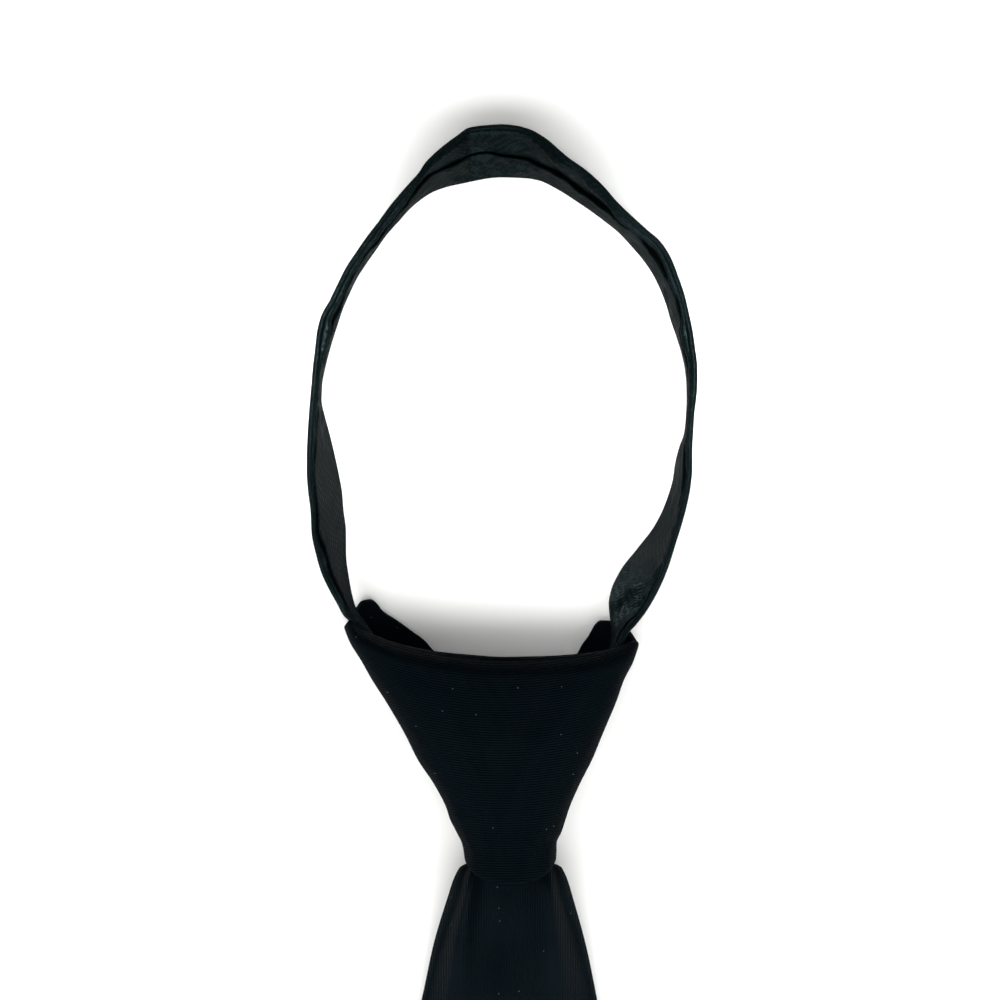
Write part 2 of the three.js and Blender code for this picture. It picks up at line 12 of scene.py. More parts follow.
import bmesh
import bpy
import numpy as np
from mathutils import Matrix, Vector


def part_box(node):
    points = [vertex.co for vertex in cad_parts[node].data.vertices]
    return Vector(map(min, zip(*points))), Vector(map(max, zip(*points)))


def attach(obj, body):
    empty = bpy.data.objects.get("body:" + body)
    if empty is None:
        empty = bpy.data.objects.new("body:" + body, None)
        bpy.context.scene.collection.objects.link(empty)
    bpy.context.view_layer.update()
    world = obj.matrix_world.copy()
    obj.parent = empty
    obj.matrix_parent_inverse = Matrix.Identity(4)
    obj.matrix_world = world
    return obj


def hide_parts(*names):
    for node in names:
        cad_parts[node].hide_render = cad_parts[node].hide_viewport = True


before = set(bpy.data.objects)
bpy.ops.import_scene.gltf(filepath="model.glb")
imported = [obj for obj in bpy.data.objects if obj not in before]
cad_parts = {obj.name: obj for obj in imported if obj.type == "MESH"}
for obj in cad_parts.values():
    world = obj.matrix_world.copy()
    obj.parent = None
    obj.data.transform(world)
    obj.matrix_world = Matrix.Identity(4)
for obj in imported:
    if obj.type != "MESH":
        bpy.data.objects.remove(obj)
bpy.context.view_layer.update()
print("solids:", sorted(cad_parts))

# %% [markdown]
# The tie was measured in millimetres from a point between the knot's upper corners, with x to
# the right, y up the tie and z up from the table. Blender's scene is in metres and starts from
# the middle of the tie's box. The blade's tip and middle are known in both, so they give the way
# from one to the other, and no place has to be typed twice.

# %% From the tie's millimetres to the frame's metres
MM = 0.001
BLADE_TIP_Y = -500.0

blade_low, blade_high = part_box("blade")
FRAME_ORIGIN = np.array([(blade_low.x + blade_high.x) / 2, blade_low.y - BLADE_TIP_Y * MM, 0.0])


def in_frame(points):
    return np.asarray(points, float) * MM + FRAME_ORIGIN


print("tie's origin in the frame, mm:", np.round(FRAME_ORIGIN / MM, 2))

# %% [markdown]
# The picture was taken from straight above, from about as far as an arm and a half. Seen from
# there, a point that stands higher looks a little further out than it is. The edges of the tie
# were read from above, so each point is drawn in towards the camera's axis by its own height,
# and the outline then comes out as it was read.

# %% Camera
CAMERA_X = -0.48
CAMERA_Y = 33.6
CAMERA_HIGH = 1600.0
VIEW_WIDE = 240.0
SENSOR_WIDE = 36.0

camera_data = bpy.data.cameras.new("camera")
camera_data.sensor_width = SENSOR_WIDE
camera_data.lens = SENSOR_WIDE * CAMERA_HIGH / VIEW_WIDE
camera_data.clip_end = 100.0
camera = bpy.data.objects.new("camera", camera_data)
camera.location = in_frame([CAMERA_X, CAMERA_Y, CAMERA_HIGH])
bpy.context.scene.collection.objects.link(camera)
bpy.context.scene.camera = camera


def seen_from_above(points):
    drawn = np.array(points, float)
    nearer = 1 - drawn[..., 2:3] / CAMERA_HIGH
    axis = np.array([CAMERA_X, CAMERA_Y])
    drawn[..., :2] = axis + (drawn[..., :2] - axis) * nearer
    return drawn


print("lens, mm:", camera_data.lens)

# %% [markdown]
# Colours are written as the hex values that a paint card or a web page would give, and one
# function turns them to the linear values that a renderer adds up. One more function adds a
# shader node, sets it and links it, so that a material reads as a list of what it is made of.

# %% Colour and node helpers
def linear(hex_colour):
    """An sRGB hex colour as linear red, green, blue and alpha."""
    parts = [int(hex_colour[i:i + 2], 16) / 255 for i in (1, 3, 5)]
    return [c / 12.92 if c <= 0.04045 else ((c + 0.055) / 1.055) ** 2.4 for c in parts] + [1.0]


def add(tree, kind, inputs=None, **settings):
    """Adds one shader node. An input is a value, or an output socket to link from."""
    node = tree.nodes.new(kind)
    for name, value in settings.items():
        setattr(node, name, value)
    for name, value in (inputs or {}).items():
        if isinstance(value, bpy.types.NodeSocket):
            tree.links.new(value, node.inputs[name])
        else:
            node.inputs[name].default_value = value
    return node


def new_material(name):
    """An empty node material and its tree."""
    material = bpy.data.materials.new(name)
    material.use_nodes = True
    material.node_tree.nodes.clear()
    return material, material.node_tree


# Layer Weight's Facing is 0 where a face looks at the eye and 1 where it is seen edge on
SLANT_STARTS = 0.25
SLANT_FULL = 0.7


def slanting_roughness(tree, facing, slanting):
    """Cloth looks matter at a slant, where each thread hides behind the next one."""
    slant = add(tree, "ShaderNodeLayerWeight", {"Blend": 0.5})
    return add(tree, "ShaderNodeMapRange", {
        "Value": slant.outputs["Facing"], "From Min": SLANT_STARTS, "From Max": SLANT_FULL,
        "To Min": facing, "To Max": slanting,
    }).outputs[0]


def finish(tree, shader):
    add(tree, "ShaderNodeOutputMaterial", {"Surface": shader.outputs[0]})


print("mid grey, linear:", round(linear("#808080")[0], 3))

# %% [markdown]
# The tie lies on a plain white table. Near-black cloth shows almost nothing of its own colour.
# What the eye reads is the light on its sheen, so the light matters more than the paint. One big
# lamp overhead would grey the knot's flat front. So the sky is dim, apart from a bright part
# half way up beyond the tie's tip. It lights the table, and the knot shades the table behind its
# mouth. Small soft boxes with honeycomb grids stand low round the tie and model the folds and
# the knot's rounded sides. Two more hang over the loop and light the table inside it.

# %% Table and light
TABLE_WIDE = 60.0
SKY_AROUND = 0.1
SKY_SOUTH = 4.8  # how much brighter the sky is where it is brightest
SKY_SOUTHING = (-0.15, -0.6)  # it brightens between these y parts of a unit direction
SKY_HEIGHT = (0.33, 0.6)  # and between these z parts

# Soft boxes, in the tie's millimetres: place, place that each one looks at, width, watts, and
# how wide its honeycomb grid lets the light spread, in degrees
SOFT_BOXES = {
    "over_left": ((-52, 66, 250), (-52, 66, 0), 60, 0.03, 24),
    "over_right": ((52, 66, 250), (52, 66, 0), 60, 0.03, 24),
    "over_nape": ((20, 300, 160), (0, 175, 0), 120, 0.02, 60),
    "north_west": ((-200, 210, 140), (-90, 130, 0), 120, 0.026, 62),
    "north_east": ((200, 210, 140), (90, 130, 0), 120, 0.023, 62),
    "west": ((-250, 30, 160), (-105, 35, 0), 120, 0.014, 50),
    "east": ((250, 30, 160), (105, 35, 0), 120, 0.014, 50),
    "south_west": ((-115, -150, 135), (0, 3, 0), 120, 0.02, 78),
    "south_east": ((115, -150, 135), (0, 3, 0), 120, 0.02, 78),
    "right_foot": ((-150, 112, 75), (34, 14, 4), 60, 0.006, 18),
    "blade_west": ((-130, -95, 70), (-8, -95, 0), 60, 0.005, 34),
    "blade_east": ((130, -95, 70), (10, -95, 0), 60, 0.005, 34),
    "corner_west": ((-200, -220, 150), (-110, -100, 0), 120, 0.022, 60),
    "corner_east": ((200, -220, 150), (110, -100, 0), 120, 0.022, 60),
}

table_material, tree = new_material("white_laminate")
noise = add(tree, "ShaderNodeTexNoise", {"Scale": 40.0, "Detail": 4.0})
tint = add(
    tree, "ShaderNodeMix", {"Factor": noise.outputs["Fac"], "A": linear("#f5f6f4"), "B": linear("#f8f8f6")},
    data_type="RGBA",
)
finish(tree, add(tree, "ShaderNodeBsdfPrincipled", {"Base Color": tint.outputs[2], "Roughness": 0.9}))

table_mesh = bpy.data.meshes.new("table")
half = TABLE_WIDE / 2
corners = [(-half, -half, 0), (half, -half, 0), (half, half, 0), (-half, half, 0)]
table_mesh.from_pydata(corners, [], [(0, 1, 2, 3)])
table_mesh.materials.append(table_material)
table = bpy.data.objects.new("table", table_mesh)
bpy.context.scene.collection.objects.link(table)

for name, (place, looks_at, wide, watts, spread) in SOFT_BOXES.items():
    light = bpy.data.lights.new(name, "AREA")
    light.shape = "SQUARE"
    light.size = wide * MM
    light.energy = watts
    light.spread = math.radians(spread)
    lamp = bpy.data.objects.new(name, light)
    lamp.location = in_frame(place)
    aim = Vector(in_frame(looks_at)) - lamp.location
    lamp.rotation_euler = aim.to_track_quat("-Z", "Y").to_euler()
    lamp.visible_camera = False
    bpy.context.scene.collection.objects.link(lamp)

world = bpy.data.worlds.new("studio")
world.use_nodes = True
tree = world.node_tree
tree.nodes.clear()
looking = add(tree, "ShaderNodeTexCoord")
parts = add(tree, "ShaderNodeSeparateXYZ", {0: looking.outputs["Generated"]})
southward, upward = (
    add(
        tree, "ShaderNodeMapRange", {"Value": parts.outputs[axis], "From Min": starts, "From Max": full},
        interpolation_type="SMOOTHSTEP",
    )
    for axis, (starts, full) in ((1, SKY_SOUTHING), (2, SKY_HEIGHT))
)
bright = add(tree, "ShaderNodeMath", {0: southward.outputs[0], 1: upward.outputs[0]}, operation="MULTIPLY")
sky = add(
    tree, "ShaderNodeMath", {0: bright.outputs[0], 1: SKY_SOUTH, 2: SKY_AROUND}, operation="MULTIPLY_ADD"
)
backdrop = add(tree, "ShaderNodeBackground", {"Color": linear("#ffffff"), "Strength": sky.outputs[0]})
add(tree, "ShaderNodeOutputWorld", {"Surface": backdrop.outputs[0]})
bpy.context.scene.world = world
bpy.context.scene.view_settings.view_transform = "Standard"
print("soft boxes:", len(SOFT_BOXES))

# %% [markdown]
# Every cloth piece here is a sheet with two faces, a wall between them and a round edge. A cloth
# simulation could fold such sheets, but it wouldn't land on the edges that were measured. So
# they are lofted from outlines. One helper closes a sheet from its two faces, and one makes the
# mesh. The mesh keeps, for each point, where that point lies in the flat cloth. The weave is
# drawn from that, so it follows the folds as real threads do.

# %% Sheet helpers
EDGE_STEPS = 4
TABLE_CLEAR = 0.02  # cloth lies this far above the table, so that the two share no plane


def table_of(names, rows):
    """A table's columns by name."""
    return dict(zip(names.split(), np.array(rows, float).T))


def curve(x, y):
    """A smooth line through points that never overshoots them."""
    x, y = (x, y) if x[0] < x[-1] else (x[::-1], y[::-1])
    slope = np.diff(y) / np.diff(x)
    before, after = slope[:-1], slope[1:]
    rising = before * after > 0
    between = np.where(rising, 2 * before * after / np.where(rising, before + after, 1), 0)
    tangent = np.concatenate([slope[:1], between, slope[-1:]])

    def value(place):
        place = np.clip(place, x[0], x[-1])
        i = np.clip(np.searchsorted(x, place, side="right") - 1, 0, len(slope) - 1)
        span = x[i + 1] - x[i]
        t = (place - x[i]) / span
        t2, t3 = t * t, t * t * t
        ends = (2 * t3 - 3 * t2 + 1) * y[i] + (3 * t2 - 2 * t3) * y[i + 1]
        return ends + ((t3 - 2 * t2 + t) * tangent[i] + (t3 - t2) * tangent[i + 1]) * span

    return value


def smooth_step(low, high, value):
    t = np.clip((value - low) / (high - low), 0, 1)
    return t * t * (3 - 2 * t)


def wander(seed, size, *places):
    """Smooth unevenness, mostly between -1 and 1, whose swells are about size long."""
    random = np.random.default_rng(seed)
    waves = 9
    total = 0
    for _ in range(waves):
        heading = random.normal(size=len(places))
        heading *= 2 * math.pi / (np.linalg.norm(heading) * size * random.uniform(0.7, 1.6))
        total = total + np.sin(sum(h * p for h, p in zip(heading, places)) + random.uniform(0, 2 * math.pi))
    return total / math.sqrt(2 * waves)


def walled(front, back):
    """Closed outlines of a sheet, one a row, from its two faces, with a half round at each edge."""
    def edge(a, b, inside):
        half = (a - b) / 2
        out = a - inside
        across = half / np.linalg.norm(half, axis=-1, keepdims=True)
        out = out - (out * across).sum(-1, keepdims=True) * across
        out *= np.linalg.norm(half, axis=-1, keepdims=True) / np.linalg.norm(out, axis=-1, keepdims=True)
        turns = (np.arange(EDGE_STEPS) + 0.5) * math.pi / EDGE_STEPS
        return np.stack([(a + b) / 2 + half * math.cos(t) + out * math.sin(t) for t in turns], axis=1)

    first = edge(front[:, 0], back[:, 0], front[:, 1])
    last = edge(front[:, -1], back[:, -1], front[:, -2])
    half_way = EDGE_STEPS // 2
    return np.concatenate(
        [first[:, half_way - 1::-1], front, last, back[:, ::-1], first[:, :half_way - 1:-1]], axis=1
    )


def around(outlines):
    """Distance run along each outline."""
    steps = np.linalg.norm(np.diff(outlines, axis=1), axis=-1)
    return np.concatenate([np.zeros((len(outlines), 1)), np.cumsum(steps, axis=1)], axis=1)


def sheet_piece(name, outlines, weave, material, ring=False):
    """A closed mesh through the outlines. In a ring the last outline joins the first."""
    rows, count = outlines.shape[:2]
    index = np.arange(rows * count).reshape(rows, count)
    along = np.concatenate([index, index[:1]]) if ring else index
    quads = np.stack(
        [along[:-1], np.roll(along, -1, 1)[:-1], np.roll(along, -1, 1)[1:], along[1:]], axis=-1
    ).reshape(-1, 4)
    if not ring:
        side, other = np.arange(count // 2 - 1), np.arange(count - 1, count // 2, -1)
        cap = np.stack([side, other, other - 1, side + 1], axis=-1)
        quads = np.concatenate([quads, cap, cap[:, ::-1] + (rows - 1) * count])
    points = outlines.reshape(-1, 3)
    a, b, c, d = (points[quads[:, k]] for k in range(4))
    volume = (np.cross(a, b) * c).sum() + (np.cross(a, c) * d).sum()
    if volume < 0:
        quads = quads[:, ::-1]
    mesh = bpy.data.meshes.new(name)
    mesh.from_pydata(in_frame(points).tolist(), [], quads.tolist())
    lay = np.zeros((rows * count, 3))
    lay[:, :2] = np.stack([part.reshape(-1) for part in np.broadcast_arrays(*weave, index)[:2]], axis=-1)
    mesh.attributes.new("weave", "FLOAT_VECTOR", "POINT").data.foreach_set("vector", lay.ravel())
    mesh.polygons.foreach_set("use_smooth", [True] * len(mesh.polygons))
    mesh.materials.append(material)
    piece = bpy.data.objects.new(name, mesh)
    bpy.context.scene.collection.objects.link(piece)
    print(f"{name}: {2 * len(quads)} triangles, {abs(volume) / 6000:.1f} cm3")
    return piece


# %% [markdown]
# The tie's own cloth is a ribbed polyester, woven with thick weft under fine black warp. The
# ribs are about 0.45 mm apart. Black dye leaves hardly any diffuse light, so its albedo is under
# one per cent, and the smooth filament gives a faint broad sheen instead of a gloss. The blade
# was pressed with an iron, which flattens its ribs and leaves it a little shinier than the knot.
# Handling leaves a few pale specks of lint. A bump from wave and noise patterns is enough for
# ribs this low, where modelled ribs would cost a million faces. The same patterns darken the
# colour in the hollows between the ribs, which is painted shade.

# %% Ribbed polyester
RIB_PITCH = 0.6  # the real 0.45 mm is too fine for the picture, so it is drawn a third coarser
WAVE_TURN = 2 * math.pi / 20  # a wave node's period at scale 1
LINT_APART = 5.5
LINT_SIZE = 0.16
LINT_FREE = 0.72  # share of the places that stay clean


def ribbed_polyester(name, gloss):
    material, tree = new_material(name)
    weave = add(tree, "ShaderNodeAttribute", attribute_name="weave").outputs["Vector"]
    ribs = add(tree, "ShaderNodeTexWave", {
        "Vector": weave, "Scale": WAVE_TURN / RIB_PITCH,
        "Distortion": 1.2, "Detail": 2.0, "Detail Scale": 2.0,
    }, bands_direction="X")
    threads = add(
        tree, "ShaderNodeTexNoise", {"Vector": weave, "Scale": 2.2, "Detail": 3.0, "Roughness": 0.7}
    )
    relief = add(
        tree, "ShaderNodeMath", {0: ribs.outputs["Fac"], 1: threads.outputs["Fac"]}, operation="ADD"
    )
    cloudy = add(tree, "ShaderNodeTexNoise", {"Vector": weave, "Scale": 0.06, "Detail": 2.0})
    ground = add(
        tree, "ShaderNodeMix",
        {"Factor": cloudy.outputs["Fac"], "A": linear("#010505"), "B": linear("#02040a")},
        data_type="RGBA",
    )
    # the relief darkens the colour in the hollows between the ribs: partly the weave's own pattern, partly
    # painted shade
    crowns_and_hollow_shade = add(
        tree, "ShaderNodeMix",
        {"Factor": relief.outputs[0], "A": linear("#010304"), "B": ground.outputs[2]},
        data_type="RGBA", clamp_factor=True,
    )
    lint = add(
        tree, "ShaderNodeTexVoronoi", {"Vector": weave, "Scale": 1 / LINT_APART, "Randomness": 1.0},
        voronoi_dimensions="2D",
    )
    chosen = add(tree, "ShaderNodeSeparateColor", {"Color": lint.outputs["Color"]})
    rare = add(tree, "ShaderNodeMath", {0: chosen.outputs[0], 1: LINT_FREE}, operation="GREATER_THAN")
    near = add(
        tree, "ShaderNodeMapRange",
        {"Value": lint.outputs["Distance"], "From Min": LINT_SIZE / LINT_APART, "From Max": 0.0},
    )
    speck = add(tree, "ShaderNodeMath", {0: rare.outputs[0], 1: near.outputs[0]}, operation="MULTIPLY")
    colour = add(
        tree, "ShaderNodeMix",
        {"Factor": speck.outputs[0], "A": crowns_and_hollow_shade.outputs[2], "B": linear("#59636b")},
        data_type="RGBA",
    )
    bump = add(
        tree, "ShaderNodeBump", {"Height": relief.outputs[0], "Strength": 0.9, "Distance": 0.07 * MM}
    )
    finish(tree, add(tree, "ShaderNodeBsdfPrincipled", {
        "Base Color": colour.outputs[2],
        "Roughness": slanting_roughness(tree, 0.5, 0.8),
        "IOR": 1.54,
        "Specular IOR Level": gloss,
        "Specular Tint": linear("#8fb4c8"),
        "Sheen Weight": 0.005,
        "Sheen Roughness": 0.45,
        "Sheen Tint": linear("#8fb0c8"),
        "Normal": bump.outputs[0],
    }))
    return material


# Smooth plastic has a specular level of 0.5. Black yarn traps most of its own reflection.
KNOT_GLOSS = 0.045
PRESSED_GLOSS = 0.075
knot_cloth = ribbed_polyester("ribbed_polyester", KNOT_GLOSS)
blade_cloth = ribbed_polyester("ribbed_polyester_pressed", PRESSED_GLOSS)
print("rib pitch drawn, mm:", RIB_PITCH)

# %% [markdown]
# The neck loop is lining cloth, a charcoal polyester satin with a small diamond twill. Its
# filaments float over three or four others, so it throws back much more light than the ribbed
# cloth, in a broad soft gloss along every fold. Two waves that cross make the diamonds, and the
# colour is darkened where they dip, a painted shade in the twill's hollows.

# %% Diamond twill lining
TWILL_PITCH = 0.85  # the real diamonds are about 0.7 mm, drawn coarser so that they show
TWILL_LONG = 1.7  # a diamond's length over its width


def twill_lining():
    material, tree = new_material("twill_lining")
    weave = add(tree, "ShaderNodeAttribute", attribute_name="weave").outputs["Vector"]
    turned = add(
        tree, "ShaderNodeMapping", {"Vector": weave, "Rotation": (0, 0, math.radians(45))}
    ).outputs[0]
    lines = [
        add(tree, "ShaderNodeTexWave", {
            "Vector": turned, "Scale": WAVE_TURN / pitch,
            "Distortion": 2.6, "Detail": 2.0, "Detail Scale": 0.8,
        }, bands_direction=way).outputs["Fac"]
        for way, pitch in (("X", TWILL_PITCH), ("Y", TWILL_LONG * TWILL_PITCH))
    ]
    diamonds = add(tree, "ShaderNodeMath", {0: lines[0], 1: lines[1]}, operation="MULTIPLY")
    threads = add(
        tree, "ShaderNodeTexNoise", {"Vector": weave, "Scale": 1.6, "Detail": 3.0, "Roughness": 0.65}
    )
    relief = add(
        tree, "ShaderNodeMath", {0: diamonds.outputs[0], 1: threads.outputs["Fac"]}, operation="ADD"
    )
    cloudy = add(tree, "ShaderNodeTexNoise", {"Vector": weave, "Scale": 0.09, "Detail": 2.0})
    ground = add(
        tree, "ShaderNodeMix",
        {"Factor": cloudy.outputs["Fac"], "A": linear("#010505"), "B": linear("#030a0b")},
        data_type="RGBA",
    )
    # darker where the twill relief dips: partly the weave's own pattern, partly painted shade in its
    # hollows
    colour = add(
        tree, "ShaderNodeMix",
        {"Factor": relief.outputs[0], "A": linear("#010202"), "B": ground.outputs[2]},
        data_type="RGBA", clamp_factor=True,
    )
    bump = add(
        tree, "ShaderNodeBump", {"Height": relief.outputs[0], "Strength": 0.9, "Distance": 0.07 * MM}
    )
    finish(tree, add(tree, "ShaderNodeBsdfPrincipled", {
        "Base Color": colour.outputs[2],
        "Roughness": slanting_roughness(tree, 0.31, 0.9),
        "IOR": 1.54,
        "Specular IOR Level": 0.08,
        "Specular Tint": linear("#a9cdd6"),
        "Sheen Weight": 0.002,
        "Sheen Roughness": 0.4,
        "Sheen Tint": linear("#b6cacf"),
        "Normal": bump.outputs[0],
    }))
    return material


lining_cloth = twill_lining()
print("diamond pitch drawn, mm:", TWILL_PITCH)

# %% [markdown]
# The neck band is a strip 30 mm wide, folded to the middle from both sides, so that its two
# flaps meet in a slit. On the table it stands half on edge. How wide it looks from above gives
# how far it leans. The tables say where its two edges were seen, section by section.

# %% Neck band, measured sections
BAND_THICK = 1.5
BAND_WALL = 0.6
LOOP_CENTRE_Y = 57.6

# at: bearing from the loop's centre, 0 up the tie, in degrees
# inner, outer: distance of the two edges from that centre
# seam: where the slit lies, from the inner edge (0) to the outer edge (1)
# gape: width of the slit; strip: width of the folded strip; rise: height of its lower edge
LOOP = table_of("at inner outer seam gape strip rise", [
    (-130, 48.9, 58.2, 0.72, 0.9, 14.4, 0.4),
    (-125, 46.4, 55.8, 0.79, 0.9, 14.8, 0.1),
    (-120, 44.3, 53.1, 0.85, 0.9, 15, 0),
    (-115, 43.1, 51.4, 0.87, 0.8, 15, 0),
    (-110, 42.4, 49.9, 0.86, 0.5, 15, 0),
    (-105, 42.1, 48.5, 0.80, 0.4, 15, 0),
    (-100, 42.2, 47.4, 0.70, 0.4, 15, 0),
    (-95, 42.7, 46.6, 0.60, 0.4, 15, 0),
    (-90, 43.3, 46.1, 0.50, 0.4, 15, 0),
    (-85, 43.3, 45.9, 0.44, 0.5, 15, 0),
    (-80, 43.1, 46.1, 0.42, 0.6, 15, 0),
    (-75, 43.0, 46.5, 0.36, 0.8, 15, 0),
    (-70, 43.1, 47.3, 0.33, 1.0, 15, 0),
    (-65, 43.4, 47.9, 0.24, 1.0, 15, 0),
    (-60, 44.0, 47.8, 0.20, 0.8, 15, 0),
    (-55, 44.6, 48.3, 0.40, 0.8, 15, 0),
    (-50, 45.4, 49.1, 0.43, 0.8, 15, 0),
    (-45, 46.1, 49.8, 0.46, 0.7, 15, 0),
    (-40, 47.0, 50.8, 0.40, 0.6, 15, 0),
    (-35, 48.3, 52.0, 0.24, 0.5, 15, 0),
    (-30, 49.5, 53.8, 0.25, 0.5, 15, 0),
    (-25, 51.1, 55.8, 0.38, 0.5, 15, 0),
    (-20, 52.3, 58.2, 0.52, 0.6, 15, 0),
    (-18, 52.6, 59.8, 0.50, 0.6, 15, 0),
    (-14, 52.8, 62.1, 0.45, 0.6, 15, 0),
    (-10, 52.8, 64.2, 0.46, 0.6, 15, 0),
    (-6.7, 53.0, 65.9, 0.48, 0.6, 15.1, 0),
    (-3, 53.3, 66.1, 0.46, 0.6, 15.2, 0),
    (0, 53.4, 66.2, 0.40, 0.7, 15.2, 0),
    (2.7, 53.4, 66.0, 0.38, 0.7, 15.1, 0),
    (6, 53.5, 65.3, 0.36, 0.6, 15, 0),
    (9.5, 53.4, 63.7, 0.30, 0.6, 15, 0),
    (15, 52.2, 60.5, 0.33, 0.6, 15, 0),
    (20, 51.0, 58.8, 0.30, 0.7, 15, 0),
    (25, 50.1, 57.0, 0.35, 0.7, 15, 0),
    (30, 49.4, 55.1, 0.38, 0.8, 15, 0),
    (35, 48.9, 54.1, 0.42, 0.8, 15, 0),
    (40, 48.2, 53.7, 0.50, 0.8, 15, 0),
    (45, 47.7, 53.8, 0.42, 0.9, 15, 0),
    (50, 47.1, 53.0, 0.41, 0.8, 15, 0),
    (55, 46.3, 51.7, 0.47, 0.8, 15, 0),
    (60, 45.5, 50.6, 0.52, 0.8, 15, 0),
    (65, 44.7, 49.5, 0.54, 0.8, 15, 0),
    (70, 44.5, 48.7, 0.35, 1.0, 15, 0),
    (75, 44.5, 48.0, 0.25, 1.1, 15, 0),
    (80, 44.5, 47.6, 0.22, 1.1, 15, 0),
    (85, 44.4, 47.1, 0.20, 0.9, 15, 0),
    (90, 44.3, 46.6, 0.30, 0.5, 15, 0),
    (95, 44.3, 46.3, 0.40, 0.5, 15, 0),
    (100, 44.4, 46.6, 0.52, 0.8, 15, 0),
    (105, 44.0, 47.3, 0.66, 1.1, 15, 0),
    (110, 44.2, 48.6, 0.70, 1.1, 15, 0),
    (115, 45.2, 49.9, 0.84, 0.9, 15, 0),
    (120, 46.0, 51.2, 0.92, 0.7, 15, 0),
    (125, 46.8, 52.6, 0.97, 0.5, 15, 0),
    (130, 47.5, 54.3, 0.98, 0.5, 15, 0.1),
])

# The feet, from the loop down into the knot, by the places of their two edges
FOOT_NAMES = "in_x in_y out_x out_y seam gape strip rise"
LEFT_FOOT = table_of(FOOT_NAMES, [
    (-37.4, 20.4, -43.4, 16.2, 0.66, 0.8, 12.4, 0.9),
    (-36.7, 14.9, -41.4, 11.9, 0.60, 0.8, 10.6, 1.7),
    (-35.9, 10.6, -39.6, 8.7, 0.56, 0.8, 8.8, 2.5),
    (-34.8, 7.2, -38.0, 5.8, 0.52, 0.7, 7.4, 2.8),
    (-32.2, 3.6, -34.6, 2.8, 0.50, 0.5, 6.8, 3.3),
    (-25.4, -7.6, -28.0, -8.9, 0.50, 0.5, 7.0, 3.4),
    (-19.4, -18.4, -21.8, -19.6, 0.50, 0.5, 7.4, 3.4),
    (-14.4, -26.6, -16.8, -27.8, 0.50, 0.3, 7.4, 3.4),
])
RIGHT_FOOT = table_of(FOOT_NAMES, [
    (32.2, 21.6, 40.0, 17.6, 0.97, 0.6, 14.4, 0.6),
    (28.6, 17.0, 38.0, 12.8, 0.96, 0.6, 13.6, 1.2),
    (26.2, 12.0, 36.1, 9.2, 0.92, 0.7, 12.2, 1.9),
    (25.6, 8.6, 34.4, 6.5, 0.84, 0.7, 10.6, 2.5),
    (25.9, 5.3, 32.3, 3.8, 0.66, 0.7, 8.6, 2.8),
    (26.2, 1.6, 30.0, 1.0, 0.56, 0.6, 7.2, 3.3),
    (24.6, -6.4, 27.4, -7.2, 0.50, 0.5, 7.0, 3.4),
    (21.0, -15.4, 23.6, -16.4, 0.50, 0.5, 7.4, 3.4),
    (17.6, -23.4, 20.2, -24.6, 0.50, 0.3, 7.4, 3.4),
])
print("sections read on the loop:", len(LOOP["at"]))

# %% [markdown]
# The sections are joined by a smooth line and cut again at even steps. At each step the cloth's
# middle line is drawn as a flat C: up one flap, round the lower fold, along the back, round the
# upper fold and down the other flap. Where the strip stands steeply, the upper flap puffs out
# and the lower one opens at the slit. Soft and sharp creases run askew over both, as they do in
# cloth that was folded by hand and then bent round a neck. A modifier could bend a flat strip
# along a curve, but it couldn't turn the strip and move its slit from section to section.

# %% Neck band, folded cloth
BAND_STATIONS = 640
FLAP_POINTS = 13
FOLD_POINTS = 7
BACK_POINTS = 9
GAPE_SHARE = 0.5  # the slit looks twice as wide as it is, for its shade counts as well

UPPER_SWELL = 1.2  # how far the upper flap puffs out, in mm, where the strip stands steeply
UPPER_SWELL_LEAST = 0.35
UPPER_SWELL_VARIES = 0.35
UPPER_SWELL_EVERY = 15.0
UPPER_PUSHES = 0.75  # the puffed flap lifts the lower one by this share of its swell
UPPER_FULL = (0.3, 0.6)  # it is full where the slit lies nearer the inner edge than this
LOWER_OPEN = 0.95  # how far the lower flap stands open at the slit, in mm
LOWER_SHUTS = 0.7  # the share that shuts again where the slit nears the outer edge
LOWER_NARROW = (0.8, 0.95)
PRESSED_FLAT = (2.0, 4.5)  # a strip that looks narrower than this, in mm, is pressed flat

CREASE_DEEP = 0.3
CREASE_EVERY = 8.0
SHARP_DEEP = 0.8
SHARP_EVERY = 17.0
FINE_DEEP = 0.07
FINE_EVERY = 3.4

STEEPEST = 0.3
SEAM_LIMIT = 0.92  # the slit stays this far inside the folds, as a share of half the strip
SEAM_LIMIT_FULL = 0.35  # and by this much further in where the upper flap is full
SEAM_ON_SWELL = 0.4  # the slit lies this share of the swell out of the strip


def band_columns():
    """The tables joined from the left foot over the nape to the right foot."""
    bearing = np.radians(LOOP["at"])
    x, y = np.sin(bearing), np.cos(bearing)
    loop = {
        "in_x": x * LOOP["inner"], "in_y": LOOP_CENTRE_Y + y * LOOP["inner"],
        "out_x": x * LOOP["outer"], "out_y": LOOP_CENTRE_Y + y * LOOP["outer"],
        **{name: LOOP[name] for name in ("seam", "gape", "strip", "rise")},
    }
    return {
        name: np.concatenate([LEFT_FOOT[name][::-1], loop[name], RIGHT_FOOT[name]])
        for name in FOOT_NAMES.split()
    }


def even_stations(columns, count):
    """Every column at stations an even distance apart, and that distance run."""
    rows = np.arange(len(columns["in_x"]), dtype=float)
    lines = {name: curve(rows, column) for name, column in columns.items()}
    fine = np.linspace(0, rows[-1], 20 * count)
    x = (lines["in_x"](fine) + lines["out_x"](fine)) / 2
    y = (lines["in_y"](fine) + lines["out_y"](fine)) / 2
    run = np.concatenate([[0], np.cumsum(np.hypot(np.diff(x), np.diff(y)))])
    along = np.linspace(0, run[-1], count)
    place = np.interp(along, run, fine)
    return {name: line(place)[:, None] for name, line in lines.items()}, along[:, None]


